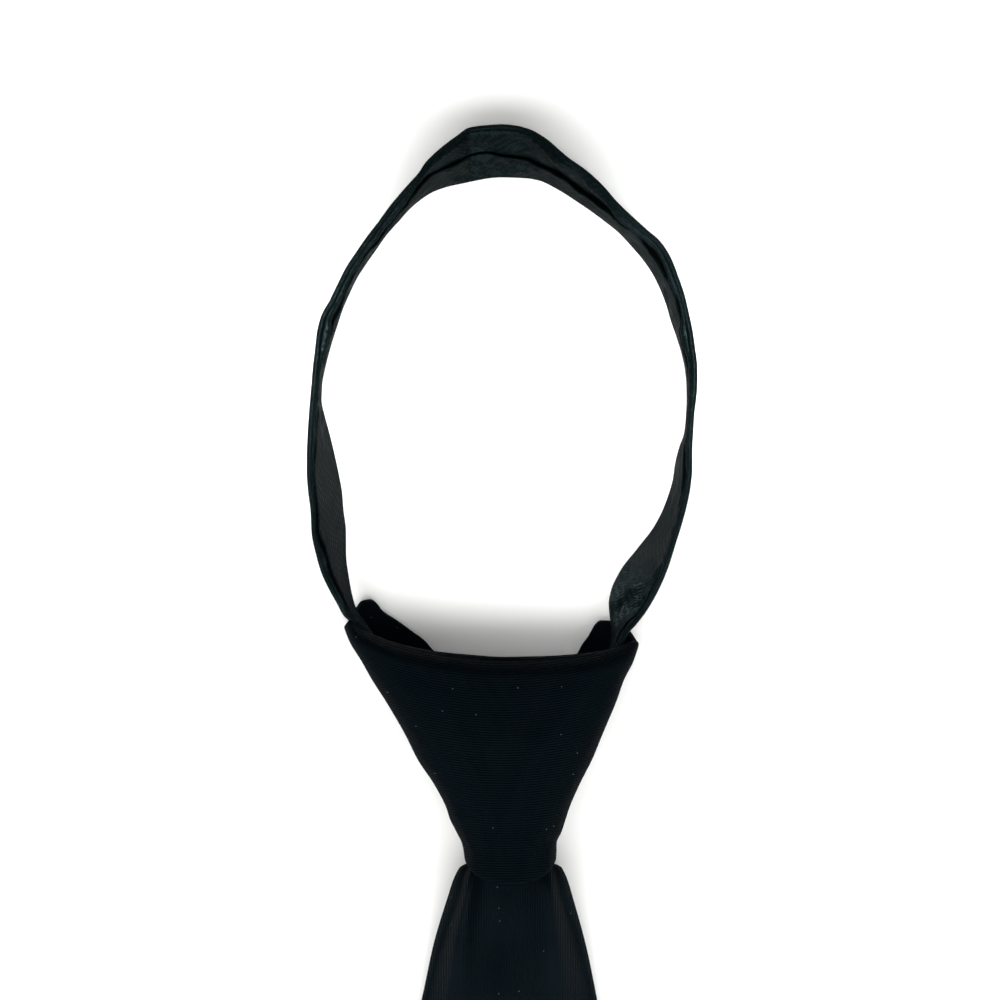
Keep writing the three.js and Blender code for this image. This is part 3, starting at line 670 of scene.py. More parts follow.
def strip_middle(reach, seam, gape, opened, puffed, along):
    """The cloth's middle line across the strip: how far along the strip, and how far out of it."""
    radius = (BAND_THICK - BAND_WALL) / 2
    share = (1 - np.cos(np.linspace(0, math.pi, FLAP_POINTS)))[None] / 2
    turn = (np.arange(1, FOLD_POINTS + 1) / (FOLD_POINTS + 1) * math.pi)[None]
    swell = {-1: opened * np.sin(math.pi / 2 * share), 1: puffed * np.sin(math.pi * share ** 0.45)}
    whole = np.ones_like(reach)
    parts = []
    for side in (-1, 1):
        fold, slit = side * reach, seam + side * gape / 2
        place = fold + (slit - fold) * share
        creases = wander(11 + side, CREASE_EVERY, along + 0.9 * side * place, 1.3 * place) * CREASE_DEEP
        sharp = np.abs(wander(71 + side, SHARP_EVERY, along - 1.4 * side * place, 0.8 * place))
        creases = creases + SHARP_DEEP * (0.35 - sharp.clip(0, 0.9)) * (1 - 0.6 * share)
        fine = wander(21 + side, FINE_EVERY, along + 0 * place, 1.3 * place) * FINE_DEEP
        loose = smooth_step(0, 0.35, share)
        parts.append((place, radius * whole + swell[side] + (creases + fine) * loose))
    back = np.linspace(-1, 1, BACK_POINTS + 2)[None, 1:-1] * reach
    lower = (-reach - radius * np.sin(turn), radius * np.cos(turn) * whole)
    upper = (reach + radius * np.sin(turn), -radius * np.cos(turn) * whole)
    left_flap, right_flap = parts
    order = [
        (left_flap[0][:, ::-1], left_flap[1][:, ::-1]), lower, (back, -radius + 0 * back), upper, right_flap
    ]
    return np.concatenate([p[0] for p in order], axis=1), np.concatenate([p[1] for p in order], axis=1)


def band_faces(stations, along):
    """The two faces of the folded cloth at every station."""
    run_x, run_y = stations["out_x"] - stations["in_x"], stations["out_y"] - stations["in_y"]
    seen = np.hypot(run_x, run_y)
    run_x, run_y = run_x / seen, run_y / seen
    flat = stations["strip"] - BAND_THICK
    lean = np.arccos(np.clip((seen - BAND_THICK) / flat, 0, 1))
    level, up = np.cos(lean), np.sin(lean)
    reach = flat / 2
    steep = up ** 2 * smooth_step(*PRESSED_FLAT, seen)
    full = steep * (1 - smooth_step(*UPPER_FULL, stations["seam"]))
    varied = 1 + UPPER_SWELL_VARIES * wander(61, UPPER_SWELL_EVERY, along)
    puffed = UPPER_SWELL_LEAST + UPPER_SWELL * full * varied
    narrow = 1 - LOWER_SHUTS * smooth_step(*LOWER_NARROW, stations["seam"])
    opened = LOWER_OPEN * steep * narrow + UPPER_PUSHES * UPPER_SWELL * full
    slit_out = (BAND_THICK + opened) / 2 + SEAM_ON_SWELL * puffed
    seam = ((stations["seam"] - 0.5) * seen + slit_out * up) / np.maximum(level, STEEPEST)
    limit = (SEAM_LIMIT - SEAM_LIMIT_FULL * full) * reach
    seam = np.clip(seam, -limit, limit)
    gape = GAPE_SHARE * stations["gape"] + BAND_WALL
    place, out = strip_middle(reach, seam, gape, opened, puffed, along)
    tangent_p, tangent_o = np.gradient(place, axis=1), np.gradient(out, axis=1)
    length = np.hypot(tangent_p, tangent_o)
    faces = []
    for side in (1, -1):
        p = place + side * BAND_WALL / 2 * tangent_o / length
        o = out - side * BAND_WALL / 2 * tangent_p / length
        away = p * level - o * up
        if side == 1:
            nearest, farthest = away.min(axis=1, keepdims=True), away.max(axis=1, keepdims=True)
        away = (away - (nearest + farthest) / 2) * seen / (farthest - nearest)
        x = (stations["in_x"] + stations["out_x"]) / 2 + run_x * away
        y = (stations["in_y"] + stations["out_y"]) / 2 + run_y * away
        z = stations["rise"] + BAND_THICK / 2 + reach * up + p * up + o * level
        faces.append(seen_from_above(np.stack([x, y, z], axis=-1)))
    return faces


band_stations, band_along = even_stations(band_columns(), BAND_STATIONS)
band_outlines = walled(*band_faces(band_stations, band_along))
band_outlines[..., 2] = np.maximum(band_outlines[..., 2], TABLE_CLEAR)
band_weave = (around(band_outlines), band_along)
neck_band = sheet_piece("neck_band_cloth", band_outlines, band_weave, lining_cloth)

# %% [markdown]
# The knot is the tie's cloth over a stiff interlining, wound once round the loop's two ends and
# stitched behind. It is a hollow cone with a wall of about 2 mm, open at the top like a mouth.
# Its front edge rolls back into the mouth, and behind it the back stands up in two wings.

# %% Knot, measured levels
KNOT_WALL = 1.9
KNOT_SIDE_BOTTOM = -52.3
KNOT_FRONT_ARC = 6.8
KNOT_BACK_BOTTOM = -51.6
KNOT_BACK_BOXIER = 4

# left, right: the side edges; deep: the knot's thickness; square: 2 is an ellipse, more is boxier
KNOT = table_of("y left right deep square", [
    (-60, -9.0, 13.1, 14.0, 2.9),
    (-52, -9.1, 13.1, 14.2, 2.9),
    (-48.9, -9.6, 13.1, 14.4, 2.9),
    (-46, -11.0, 14.3, 14.5, 2.9),
    (-43, -12.5, 15.3, 14.8, 2.9),
    (-40, -13.5, 16.3, 15.1, 2.9),
    (-34.5, -16.4, 18.7, 15.6, 2.9),
    (-28.8, -20.2, 21.6, 16.0, 2.9),
    (-23, -23.1, 24.0, 16.4, 3.0),
    (-14.4, -28.1, 27.6, 16.4, 3.2),
    (-9.6, -31.2, 29.3, 16.2, 3.3),
    (-5, -33.8, 31.6, 15.9, 3.5),
    (0, -36.8, 33.0, 15.3, 3.8),
    (4.4, -38.1, 33.2, 14.6, 4.0),
    (10, -38.2, 33.2, 13.8, 4.0),
])

# Top edges of the front and of the back, from side edge (-1) to side edge (1)
KNOT_FRONT_TOP = table_of("across top", [
    (-1.0, 3.6), (-0.97, 4.4), (-0.9, 2.4), (-0.8, 0.6), (-0.7, -0.8), (-0.57, -1.9), (-0.42, -2.9),
    (-0.2, -3.7), (0.05, -4.3), (0.3, -4.15), (0.6, -3.5), (0.8, -2.5), (0.94, -1.0), (1.0, -0.4),
])
KNOT_BACK_TOP = table_of("across top", [
    (-1.0, 3.6), (-0.97, 5.0), (-0.93, 7.4), (-0.89, 9.2), (-0.84, 9.6), (-0.80, 8.6), (-0.765, 7.0),
    (-0.65, 4.4), (-0.565, 2.0), (-0.49, -0.4), (-0.455, -2.8), (-0.3, -5.6), (0.0, -7.0), (0.4, -6.2),
    (0.60, -3.6), (0.625, -1.4), (0.68, 1.2), (0.72, 3.6), (0.755, 4.6), (0.81, 4.5), (0.92, 3.0),
    (1.0, -0.4),
])
print("knot, mm:", round(float(KNOT["right"][-1] - KNOT["left"][-1]), 1), "wide at the mouth")

# %% [markdown]
# A squeezed tube from the mesh menu would have round sides and level ends. Here each level of
# the cone has its own width, depth and squareness, and each column its own top and bottom. A
# column is closed over the lip like any other sheet, and the columns join to a ring. The ribs
# run round the knot and sag a little, as its cloth is stretched over the sides.

# %% Knot, hollow cloth cone
KNOT_ACROSS = 110
KNOT_UP = 96
KNOT_HALF = 40
LIP_DRAWN_IN = 0.6
LIP_ROLL = 2.2
LIP_DEEP = 4.4
KNOT_DENT = 0.22
KNOT_FINE_DENT = 0.06
OVERLAP_STEP = 0.8
OVERLAP_AT = 0.12
OVERLAP_WIDE = 0.03


def knot_faces():
    """The knot's outer and inner face, a row for each column round it."""
    turn = np.arange(KNOT_ACROSS) * math.pi / KNOT_ACROSS
    across = np.concatenate([-np.cos(turn), np.cos(turn)])[:, None]
    front = np.repeat([True, False], KNOT_ACROSS)[:, None]
    side = np.where(front, 1.0, -1.0)
    round_off = np.sqrt(np.clip(1 - across ** 2, 0, 1))
    drop = np.where(front, -KNOT_FRONT_ARC, KNOT_BACK_BOTTOM - KNOT_SIDE_BOTTOM)
    bottom = KNOT_SIDE_BOTTOM + drop * round_off + KNOT_WALL / 2
    front_top = curve(KNOT_FRONT_TOP["across"], KNOT_FRONT_TOP["top"])
    back_top = curve(KNOT_BACK_TOP["across"], KNOT_BACK_TOP["top"])
    top = np.where(front, front_top(across) - LIP_DRAWN_IN, back_top(across) - KNOT_WALL / 2)
    share = 1 - (1 - np.linspace(0, 1, KNOT_UP)) ** 1.5
    y = bottom + (top - bottom) * share[None]
    left, right, deep, square = (
        curve(KNOT["y"], KNOT[name])(y) for name in ("left", "right", "deep", "square")
    )
    boxy = np.where(front, square, square + KNOT_BACK_BOXIER)
    bulge = (1 - np.abs(across) ** boxy).clip(0) ** (1 / boxy)
    near_top = np.clip(1 - (top - y) / LIP_DEEP, 0, 1)
    roll = LIP_ROLL * near_top ** 2 * np.where(front, bulge, 0)
    loose = bulge * smooth_step(0, 6, y - bottom)
    place = KNOT_HALF * across + 0 * y
    dents = KNOT_DENT * wander(31, 16.0, place, y) * loose
    dents = dents + KNOT_FINE_DENT * wander(32, 5.0, place, y) * loose
    overlap = OVERLAP_STEP * smooth_step(OVERLAP_AT, OVERLAP_AT + OVERLAP_WIDE, across)
    overlap = overlap * np.where(front, 0, bulge)
    faces = []
    for wall in (0, KNOT_WALL):
        x = (left + right) / 2 + ((right - left) / 2 - wall) * across
        shift = np.where(front, dents - roll, overlap)
        z = np.maximum(deep / 2 + side * (deep / 2 - wall) * bulge + shift, TABLE_CLEAR)
        faces.append(seen_from_above(np.stack([x, y, z], axis=-1)))
    return faces


RIB_SAG = 0.006

knot_outlines = walled(*knot_faces())
rib_place = knot_outlines[..., 1] - RIB_SAG * knot_outlines[..., 0] ** 2
knot = sheet_piece("knot_cloth", knot_outlines, (rib_place, knot_outlines[..., 0]), knot_cloth, ring=True)

# %% [markdown]
# The blade is the same cloth folded round a soft interlining, so it is a padded sheet nearly
# 3 mm thick with soft pressed edges. Where it leaves the knot it is pinched: two ridges run down
# beside a dimple and fade out within a hand's width. The zip behind it holds its upper part up.

# %% Blade, measured levels
BLADE_THICK = 2.8
BLADE_TIP_HALF = 1.2
ZIP_HALF = 8.5
ZIP_CLEAR = 0.8

# left, right: side edges; lift: height of the back over the zip
# crest: height of the two ridges beside the dimple; place: how far out they run
# under: share of the lift that the side edges keep
BLADE = table_of("y left right lift crest place under", [
    (-22, -9.0, 11.6, 5.6, 0.6, 0.50, 1.0),
    (-40, -7.6, 10.6, 5.6, 1.0, 0.50, 1.0),
    (-49, -6.2, 10.0, 5.6, 1.2, 0.50, 1.0),
    (-52.4, -6.6, 10.4, 5.5, 1.4, 0.52, 1.0),
    (-54.6, -9.9, 13.9, 5.4, 2.6, 0.62, 0.9),
    (-60.5, -11.8, 15.7, 5.3, 3.8, 0.68, 0.5),
    (-72, -15.6, 19.1, 4.4, 3.8, 0.66, 0.1),
    (-85, -19.0, 22.4, 4.0, 2.4, 0.60, 0),
    (-100, -22.4, 25.2, 2.4, 1.6, 0.54, 0),
    (-125, -26.4, 28.4, 2.3, 0.8, 0.48, 0),
    (-158, -29.6, 30.8, 2.3, 0.4, 0.42, 0),
    (-180, -31.2, 32.0, 0, 0.2, 0.40, 0),
    (-250, -35.0, 35.4, 0, 0, 0.40, 0),
    (-360, -39.8, 40.0, 0, 0, 0.40, 0),
    (-457, -43.0, 43.0, 0, 0, 0.40, 0),
])
print("blade, mm:", BLADE["y"][0] - BLADE_TIP_Y, "long with its hidden top")

# %% [markdown]
# Sculpting the pinch by hand would be quick, but nobody could read or change it later. So the
# front is a sum of plain shapes over the back: the padding, two ridges, the dimple, a few fine
# pleats under the knot and a slow swell. The tie was tied by hand, so the ridges differ.

# %% Blade, padded sheet
BLADE_COLUMNS = 96
NEAR_KNOT_Y = -100
STEP_NEAR_KNOT = 0.55
STEP_MIDDLE = 2.4
STEP_TIP = 0.9
TIP_THINS = 0.35  # share of the thickness that the tip loses

# Ridges and dimple, as shares of half the blade's width
LEFT_CREST_SPREAD = 0.2
LEFT_CREST_OUT = 0.08
RIGHT_CREST_SPREAD = 0.33
DIMPLE_SPREAD = 0.32
DIMPLE_LEFT = 0.15
DIMPLE_DEEP = 0.5  # share of the ridges' height

PLEAT_DEEP = 0.12
PLEAT_APART = 0.5
PLEATS_FADE_FROM_Y = -56
PLEATS_FADE = 22
SWELL_HIGH = 0.12
SWELL_EVERY = 30.0
EDGE_SINKS = 0.35  # the pressed edges lie this much lower, in mm
EDGE_WIDE = 3.5
BACK_SEAM_HALF = 1.0
BACK_SEAM_DEEP = 0.8


def blade_levels():
    """Levels down the blade, close together near the knot and at the tip."""
    last = BLADE["y"][-1]
    near = np.arange(BLADE["y"][0], NEAR_KNOT_Y, -STEP_NEAR_KNOT)
    middle = np.arange(NEAR_KNOT_Y, last, -STEP_MIDDLE)
    tip = np.arange(last, BLADE_TIP_Y, -STEP_TIP)
    return np.concatenate([near, middle, tip, [BLADE_TIP_Y]])[:, None]


def blade_faces(y):
    """The blade's front and back, a row for each level."""
    column = {name: curve(BLADE["y"], BLADE[name])(y) for name in BLADE if name != "y"}
    to_tip = np.clip((BLADE["y"][-1] - y) / (BLADE["y"][-1] - BLADE_TIP_Y), 0, 1)
    left = column["left"] + (-BLADE_TIP_HALF - column["left"]) * to_tip
    right = column["right"] + (BLADE_TIP_HALF - column["right"]) * to_tip
    thick = BLADE_THICK * (1 - TIP_THINS * smooth_step(0.9, 1, to_tip))
    rim = np.minimum(thick / 2, (right - left) / 3)
    share = (1 - np.cos(np.linspace(0, math.pi, BLADE_COLUMNS)))[None] / 2
    share = 0.5 * share + 0.5 * np.linspace(0, 1, BLADE_COLUMNS)[None]
    x = left + rim + (right - left - 2 * rim) * share
    middle, half = (left + right) / 2, (right - left) / 2
    off = np.abs(x - middle)
    past = smooth_step(ZIP_HALF + ZIP_CLEAR, np.maximum(half, ZIP_HALF + 2), off)
    under = column["lift"] * (1 - (1 - column["under"]) * past)
    share_out = (x - middle) / half
    left_crest = np.exp(-((share_out + column["place"] + LEFT_CREST_OUT) / LEFT_CREST_SPREAD) ** 2)
    right_crest = np.exp(-((share_out - column["place"]) / RIGHT_CREST_SPREAD) ** 2)
    crest = column["crest"] * (left_crest + right_crest)
    dimple = DIMPLE_DEEP * column["crest"] * np.exp(-((share_out + DIMPLE_LEFT) / DIMPLE_SPREAD) ** 2)
    pinch = np.exp((y - PLEATS_FADE_FROM_Y) / PLEATS_FADE).clip(0, 1) * smooth_step(0, 5, -50 - y)
    pleats = PLEAT_DEEP * pinch * wander(41, PLEAT_APART, off / half + 0 * y)
    swell = SWELL_HIGH * wander(42, SWELL_EVERY, x, y + 0 * x) * smooth_step(0, 6, half - off)
    soft_edge = EDGE_SINKS * smooth_step(EDGE_WIDE, 0, half - off)
    front = under + thick + crest - dimple + pleats + swell - soft_edge
    seam = BACK_SEAM_DEEP * np.exp(-(off / BACK_SEAM_HALF) ** 2)
    back = under + seam
    return [
        seen_from_above(np.stack([x, y + 0 * x, np.maximum(z, TABLE_CLEAR)], axis=-1))
        for z in (front, back)
    ]


blade_y = blade_levels()
blade_outlines = walled(*blade_faces(blade_y))
blade_weave = (blade_outlines[..., 0], blade_outlines[..., 1])
blade = sheet_piece("blade_cloth", blade_outlines, blade_weave, blade_cloth)

# %% [markdown]
# Behind the blade two woven tapes carry a nylon coil each. The coil is one stiff thread wound
# into flattened turns. Closed, the turns of one side lie between the turns of the other, so the
# seam looks like a fine ladder. Above the slider the two sides part and run up to the loop's
# ends inside the knot. The tapes could be one flat card, but each has its own thick selvage and
# follows its own coil, so each is a sheet of its own, and the two are joined to one piece.

# %% Zip tape
ZIP_CENTRE_X = 2.0
ZIP_BOTTOM_Y = -158.0
TAPE_THICK = 0.8
COIL_MIDDLE = 0.9  # height of the coil's middle over the zip's underside

# Height of the zip's underside. It rises over the slider's pull and the knot's back.
ZIP = table_of("y z", [(-158, 0), (-97, 0), (-86, 1.7), (-58.4, 1.7), (-50, 2.4), (-26, 2.4)])

# The way of each coil above the slider, as its distance from the zip's middle line
PARTING = table_of("y left right", [
    (-158, 0, 0), (-64, 0, 0), (-58, 1.4, 1.4), (-50, 2.2, 2.0), (-44, 4.2, 3.4), (-28, 9.0, 8.4),
])
HERRINGBONE = 1.6
TWILL_LINES = 0.7
SELVAGE_DEEP = 0.12
SELVAGE_WIDE = 2.2
TAPE_WAVER = 0.06


def woven_tape():
    """Matt black polyester tape: chevrons of twill, darkened in their hollows as painted shade, hardly any
    gloss.
    """
    material, tree = new_material("woven_zip_tape")
    weave = add(tree, "ShaderNodeAttribute", attribute_name="weave").outputs["Vector"]
    parts = add(tree, "ShaderNodeSeparateXYZ", {0: weave})
    folded = add(tree, "ShaderNodeMath", {0: parts.outputs[0], 1: HERRINGBONE}, operation="PINGPONG")
    slanted = add(tree, "ShaderNodeMath", {0: parts.outputs[1], 1: folded.outputs[0]}, operation="ADD")
    along = add(tree, "ShaderNodeCombineXYZ", {0: slanted.outputs[0]})
    lines = add(
        tree, "ShaderNodeTexWave",
        {"Vector": along.outputs[0], "Scale": WAVE_TURN / TWILL_LINES, "Distortion": 0.0},
        bands_direction="X",
    )
    threads = add(tree, "ShaderNodeTexNoise", {"Vector": weave, "Scale": 2.0, "Detail": 3.0})
    relief = add(
        tree, "ShaderNodeMath", {0: lines.outputs["Fac"], 1: threads.outputs["Fac"]}, operation="ADD"
    )
    # darker where the chevron relief dips: partly the twill's own pattern, partly painted shade in its
    # hollows
    colour = add(
        tree, "ShaderNodeMix",
        {"Factor": relief.outputs[0], "A": linear("#08090b"), "B": linear("#16181b")},
        data_type="RGBA", clamp_factor=True,
    )
    bump = add(
        tree, "ShaderNodeBump", {"Height": relief.outputs[0], "Strength": 0.9, "Distance": 0.07 * MM}
    )
    finish(tree, add(tree, "ShaderNodeBsdfPrincipled", {
        "Base Color": colour.outputs[2],
        "Roughness": 0.78,
        "IOR": 1.54,
        "Specular IOR Level": 0.2,
        "Sheen Weight": 0.04,
        "Normal": bump.outputs[0],
    }))
    return material


def zip_side(side):
    """Where one side's coil runs: its distance from the middle line, at levels down the zip."""
    y = np.arange(PARTING["y"][-1], ZIP_BOTTOM_Y - 0.01, -0.8)[:, None]
    name = "left" if side < 0 else "right"
    return y, side * curve(PARTING["y"], PARTING[name])(y), curve(ZIP["y"], ZIP["z"])(y)


def tape_piece(side, material):
    y, parted, z = zip_side(side)
    out = np.linspace(0.15, ZIP_HALF - TAPE_THICK / 2, 26)[None]
    x = ZIP_CENTRE_X + parted + side * out
    selvage = SELVAGE_DEEP * smooth_step(ZIP_HALF - SELVAGE_WIDE, ZIP_HALF - SELVAGE_WIDE + 1, out)
    waver = TAPE_WAVER * wander(51 + side, 14.0, y + 0 * x, out + 0 * x)
    faces = [
        np.stack([x, y + 0 * x, z + COIL_MIDDLE + sign * (TAPE_THICK / 2 + selvage) + waver], axis=-1)
        for sign in (1, -1)
    ]
    outlines = walled(*(seen_from_above(face) for face in faces))
    name = "zip_tape_left" if side < 0 else "zip_tape_right"
    return sheet_piece(name, outlines, (outlines[..., 0], outlines[..., 1]), material)


def one_piece(name, parts, material):
    """Several pieces as one mesh, which keeps their weave."""
    mesh = bmesh.new()
    for part in parts:
        mesh.from_mesh(part.data)
        bpy.data.meshes.remove(part.data)
    data = bpy.data.meshes.new(name)
    mesh.to_mesh(data)
    mesh.free()
    data.materials.append(material)
    piece = bpy.data.objects.new(name, data)
    bpy.context.scene.collection.objects.link(piece)
    return piece


tape_cloth = woven_tape()
zip_tapes = one_piece("zip_tapes", [tape_piece(side, tape_cloth) for side in (-1, 1)], tape_cloth)

# %% [markdown]
# A screw modifier makes a round coil only. These turns are flattened, follow the zip over the
# slider and part above it, so their middle line is a formula, and a ring of six points is
# carried along it. The nylon is extruded smooth, so it has the clearest gloss on the tie.

# %% Zip coil
COIL_PITCH = 1.27
COIL_WIRE = 0.28
COIL_REACH = 1.35
COIL_HIGH = 0.6
COIL_PAST = 1.15  # each turn reaches a little past the zip's middle line
TURN_STEPS = 12
WIRE_SIDES = 6


def moulded_nylon():
    """Extruded black nylon thread: smooth, half glossy, a little dusty in small patches."""
    material, tree = new_material("nylon_coil")
    dust = add(tree, "ShaderNodeTexNoise", {"Scale": 900.0, "Detail": 3.0})
    colour = add(
        tree, "ShaderNodeMix",
        {"Factor": dust.outputs["Fac"], "A": linear("#0b0c0e"), "B": linear("#1b1d20")},
        data_type="RGBA",
    )
    rough = add(
        tree, "ShaderNodeMapRange", {"Value": dust.outputs["Fac"], "To Min": 0.25, "To Max": 0.5}
    )
    finish(tree, add(tree, "ShaderNodeBsdfPrincipled", {
        "Base Color": colour.outputs[2],
        "Roughness": rough.outputs[0],
        "IOR": 1.53,
    }))
    return material


def coil_piece(side, material):
    """One thread wound in flattened turns along its side of the zip."""
    turns = int((PARTING["y"][-1] - ZIP_BOTTOM_Y) / COIL_PITCH)
    turn = np.arange(turns * TURN_STEPS + 1) * 2 * math.pi / TURN_STEPS
    offset = 0 if side < 0 else COIL_PITCH / 2
    y = PARTING["y"][-1] - offset - COIL_PITCH * turn / (2 * math.pi)
    y = np.maximum(y, ZIP_BOTTOM_Y)
    name = "left" if side < 0 else "right"
    parted = side * curve(PARTING["y"], PARTING[name])(y)
    base = curve(ZIP["y"], ZIP["z"])(y) + COIL_MIDDLE
    out = COIL_REACH / 2 * (1 - COIL_PAST * np.cos(turn))
    middle = np.stack([ZIP_CENTRE_X + parted + side * out, y, base + COIL_HIGH * np.sin(turn)], axis=-1)
    heading = np.gradient(middle, axis=0)
    heading /= np.linalg.norm(heading, axis=-1, keepdims=True)
    upright = np.cross(heading, [0, 1, 0])
    upright /= np.linalg.norm(upright, axis=-1, keepdims=True)
    other = np.cross(heading, upright)
    angle = np.arange(WIRE_SIDES) * 2 * math.pi / WIRE_SIDES
    ring_x, ring_y = np.cos(angle)[None, :, None], np.sin(angle)[None, :, None]
    around_wire = ring_x * upright[:, None] + ring_y * other[:, None]
    outlines = seen_from_above(middle[:, None] + COIL_WIRE * around_wire)
    return sheet_piece(f"zip_coil_{name}", outlines, (angle[None], y[:, None]), material)


nylon = moulded_nylon()
zip_coils = [coil_piece(side, nylon) for side in (-1, 1)]

# %% [markdown]
# The slider is a small zinc casting, enamelled black: two plates with a wedge between them that
# parts the coils, and a flat pull with a hole. The blade hides it, so it stays plain. Plates and
# pull are cut from outlines with a bevel, as a casting's edges are never sharp.

# %% Zip slider
SLIDER_TOP_Y = -52.9
SLIDER_BOTTOM_Y = -63.7
SLIDER_WAIST = 3.3
SLIDER_HALF = 4.4
PLATE_THICK = 1.1
SLIDER_TALL = 4.9
SHOULDER_HIGH = 2.4
FOOT_HIGH = 1.2
WEDGE_HALF = 0.9
WEDGE_FROM_TOP = (0.4, 3.6)
WEDGE_SUNK = 0.1
PULL_HALF = 2.5
PULL_TOP_Y = SLIDER_BOTTOM_Y - 1.2
PULL_BOTTOM_Y = -83.8
PULL_TAPER = 0.8
PULL_HOLE = 1.2
CASTING_CLEAR = 0.05


def enamelled_zinc():
    """Die-cast zinc under black enamel, worn to grey metal in small random spots."""
    material, tree = new_material("enamelled_zinc")
    worn = add(tree, "ShaderNodeTexNoise", {"Scale": 700.0, "Detail": 5.0, "Roughness": 0.6})
    bare = add(
        tree, "ShaderNodeMapRange", {"Value": worn.outputs["Fac"], "From Min": 0.62, "From Max": 0.7}
    )
    colour = add(
        tree, "ShaderNodeMix",
        {"Factor": bare.outputs[0], "A": linear("#0d0e10"), "B": linear("#6c6e72")},
        data_type="RGBA",
    )
    rough = add(
        tree, "ShaderNodeMapRange", {"Value": worn.outputs["Fac"], "To Min": 0.22, "To Max": 0.42}
    )
    bump = add(
        tree, "ShaderNodeBump", {"Height": worn.outputs["Fac"], "Strength": 0.3, "Distance": 0.04 * MM}
    )
    finish(tree, add(tree, "ShaderNodeBsdfPrincipled", {
        "Base Color": colour.outputs[2],
        "Metallic": bare.outputs[0],
        "Roughness": rough.outputs[0],
        "Normal": bump.outputs[0],
    }))
    return material


def plate(outline, low, high):
    """A flat plate from its outline, a list of x and y."""
    mesh = bmesh.new()
    rings = [
        [mesh.verts.new(in_frame([ZIP_CENTRE_X + x, y, z])) for x, y in outline] for z in (low, high)
    ]
    mesh.faces.new(rings[0][::-1])
    mesh.faces.new(rings[1])
    for a, b, c, d in zip(rings[0], np.roll(rings[0], -1), np.roll(rings[1], -1), rings[1]):
        mesh.faces.new((a, b, c, d))
    return mesh


def rounded(name, mesh, material, bevel):
    """Turns a bmesh into a piece with bevelled edges."""
    data = bpy.data.meshes.new(name)
    bmesh.ops.recalc_face_normals(mesh, faces=mesh.faces)
    mesh.to_mesh(data)
    mesh.free()
    data.materials.append(material)
    data.polygons.foreach_set("use_smooth", [True] * len(data.polygons))
    piece = bpy.data.objects.new(name, data)
    bpy.context.scene.collection.objects.link(piece)
    modifier = piece.modifiers.new("bevel", "BEVEL")
    modifier.width = bevel * MM
    modifier.segments = 3
    modifier.harden_normals = True
    print(name, "points:", len(data.vertices))
    return piece


def shield():
    """The slider seen from the front: broad shoulders, a narrow foot."""
    turn = np.linspace(0, math.pi, 13)
    shoulders = [
        (SLIDER_HALF * math.cos(t), SLIDER_TOP_Y - SHOULDER_HIGH + SHOULDER_HIGH * math.sin(t))
        for t in turn
    ]
    foot = [
        (-SLIDER_WAIST * math.cos(t), SLIDER_BOTTOM_Y + FOOT_HIGH - FOOT_HIGH * math.sin(t))
        for t in turn
    ]
    return shoulders + foot


def pull_outline(shrink):
    """A tab with a round end, or its round hole."""
    turn = np.linspace(math.pi, 2 * math.pi, 15)
    reach = PULL_HALF - shrink
    low = PULL_BOTTOM_Y + PULL_HALF
    end = [(reach * math.cos(t), low + reach * math.sin(t)) for t in turn]
    if shrink:
        turn = np.linspace(0, math.pi, 15)[1:-1]
        return end + [(reach * math.cos(t), low + reach * math.sin(t)) for t in turn]
    return end + [(PULL_HALF * PULL_TAPER, PULL_TOP_Y), (-PULL_HALF * PULL_TAPER, PULL_TOP_Y)]


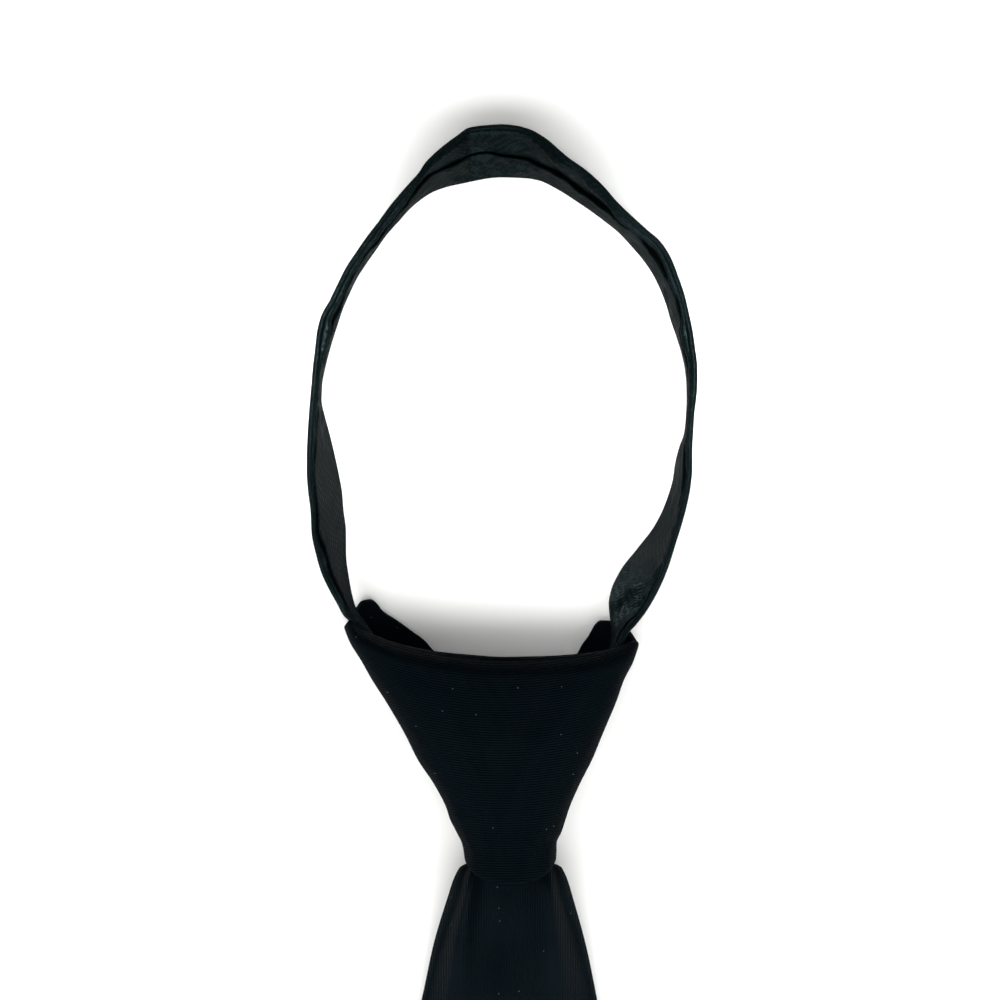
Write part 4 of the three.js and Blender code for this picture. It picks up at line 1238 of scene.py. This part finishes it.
def pull_tab(low, high):
    """The flat pull with a hole through it."""
    outer, inner = pull_outline(0), pull_outline(PULL_HALF - PULL_HOLE)
    mesh = bmesh.new()
    rings = {}
    for z in (low, high):
        for key, outline in (("outer", outer), ("inner", inner)):
            rings[key, z] = [mesh.verts.new(in_frame([ZIP_CENTRE_X + x, y, z])) for x, y in outline]
            for a, b in zip(rings[key, z], np.roll(rings[key, z], -1)):
                mesh.edges.new((a, b))
    for z in (low, high):
        edges = [
            edge for edge in mesh.edges
            if all(any(v is w for w in rings["outer", z] + rings["inner", z]) for v in edge.verts)
        ]
        bmesh.ops.triangle_fill(mesh, edges=edges, use_beauty=True)
    for key in ("outer", "inner"):
        below, above = rings[key, low], rings[key, high]
        for a, b, c, d in zip(below, np.roll(below, -1), np.roll(above, -1), above):
            mesh.faces.new((a, b, c, d))
    return mesh


zinc = enamelled_zinc()
wedge_top, wedge_foot = (SLIDER_TOP_Y - down for down in WEDGE_FROM_TOP)
wedge = [
    (-WEDGE_HALF, wedge_foot), (WEDGE_HALF, wedge_foot), (WEDGE_HALF, wedge_top), (-WEDGE_HALF, wedge_top)
]
between = (PLATE_THICK - WEDGE_SUNK, SLIDER_TALL - PLATE_THICK + WEDGE_SUNK)
slider_pieces = [
    rounded("slider_plate_back", plate(shield(), CASTING_CLEAR, PLATE_THICK), zinc, 0.3),
    rounded("slider_plate_front", plate(shield(), SLIDER_TALL - PLATE_THICK, SLIDER_TALL), zinc, 0.3),
    rounded("slider_wedge", plate(wedge, *between), zinc, 0.2),
    rounded("slider_pull", pull_tab(CASTING_CLEAR, CASTING_CLEAR + PLATE_THICK), zinc, 0.2),
]

# %% [markdown]
# Nothing on the tie turns on a pin, and the slider only moves by changing the loop's shape. So
# all of it rides the one body of the frame. Each dressed piece hides the solid that it stands in
# for.

# %% Ride and replace
for piece, node, slot in [
    (neck_band, "neck_band", "band_lining"),
    (knot, "knot", "tie_cloth"),
    (blade, "blade", "tie_cloth"),
    *((piece, "zipper_tail", "zip_tape") for piece in [zip_tapes] + zip_coils),
    *((piece, "zipper_slider", "zip_metal") for piece in slider_pieces),
]:
    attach(piece, "root")
    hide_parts(node)

# %% [markdown]
# Cloth keeps its area whatever it is folded into, so each sheet's area is printed, to set beside
# the flat piece that it was cut from. The band is a 30 mm strip. The knot's cone unrolls to a
# tapered piece, and the blade and the tapes are flat already.

# %% Flat sizes of the cloth
def half_surface(piece):
    """One face's area of a sheet that has a wall, in square metres."""
    return sum(polygon.area for polygon in piece.data.polygons) / 2


for piece in (neck_band, knot, blade, zip_tapes):
    print(piece.name, "one face, m2:", round(half_surface(piece), 5))
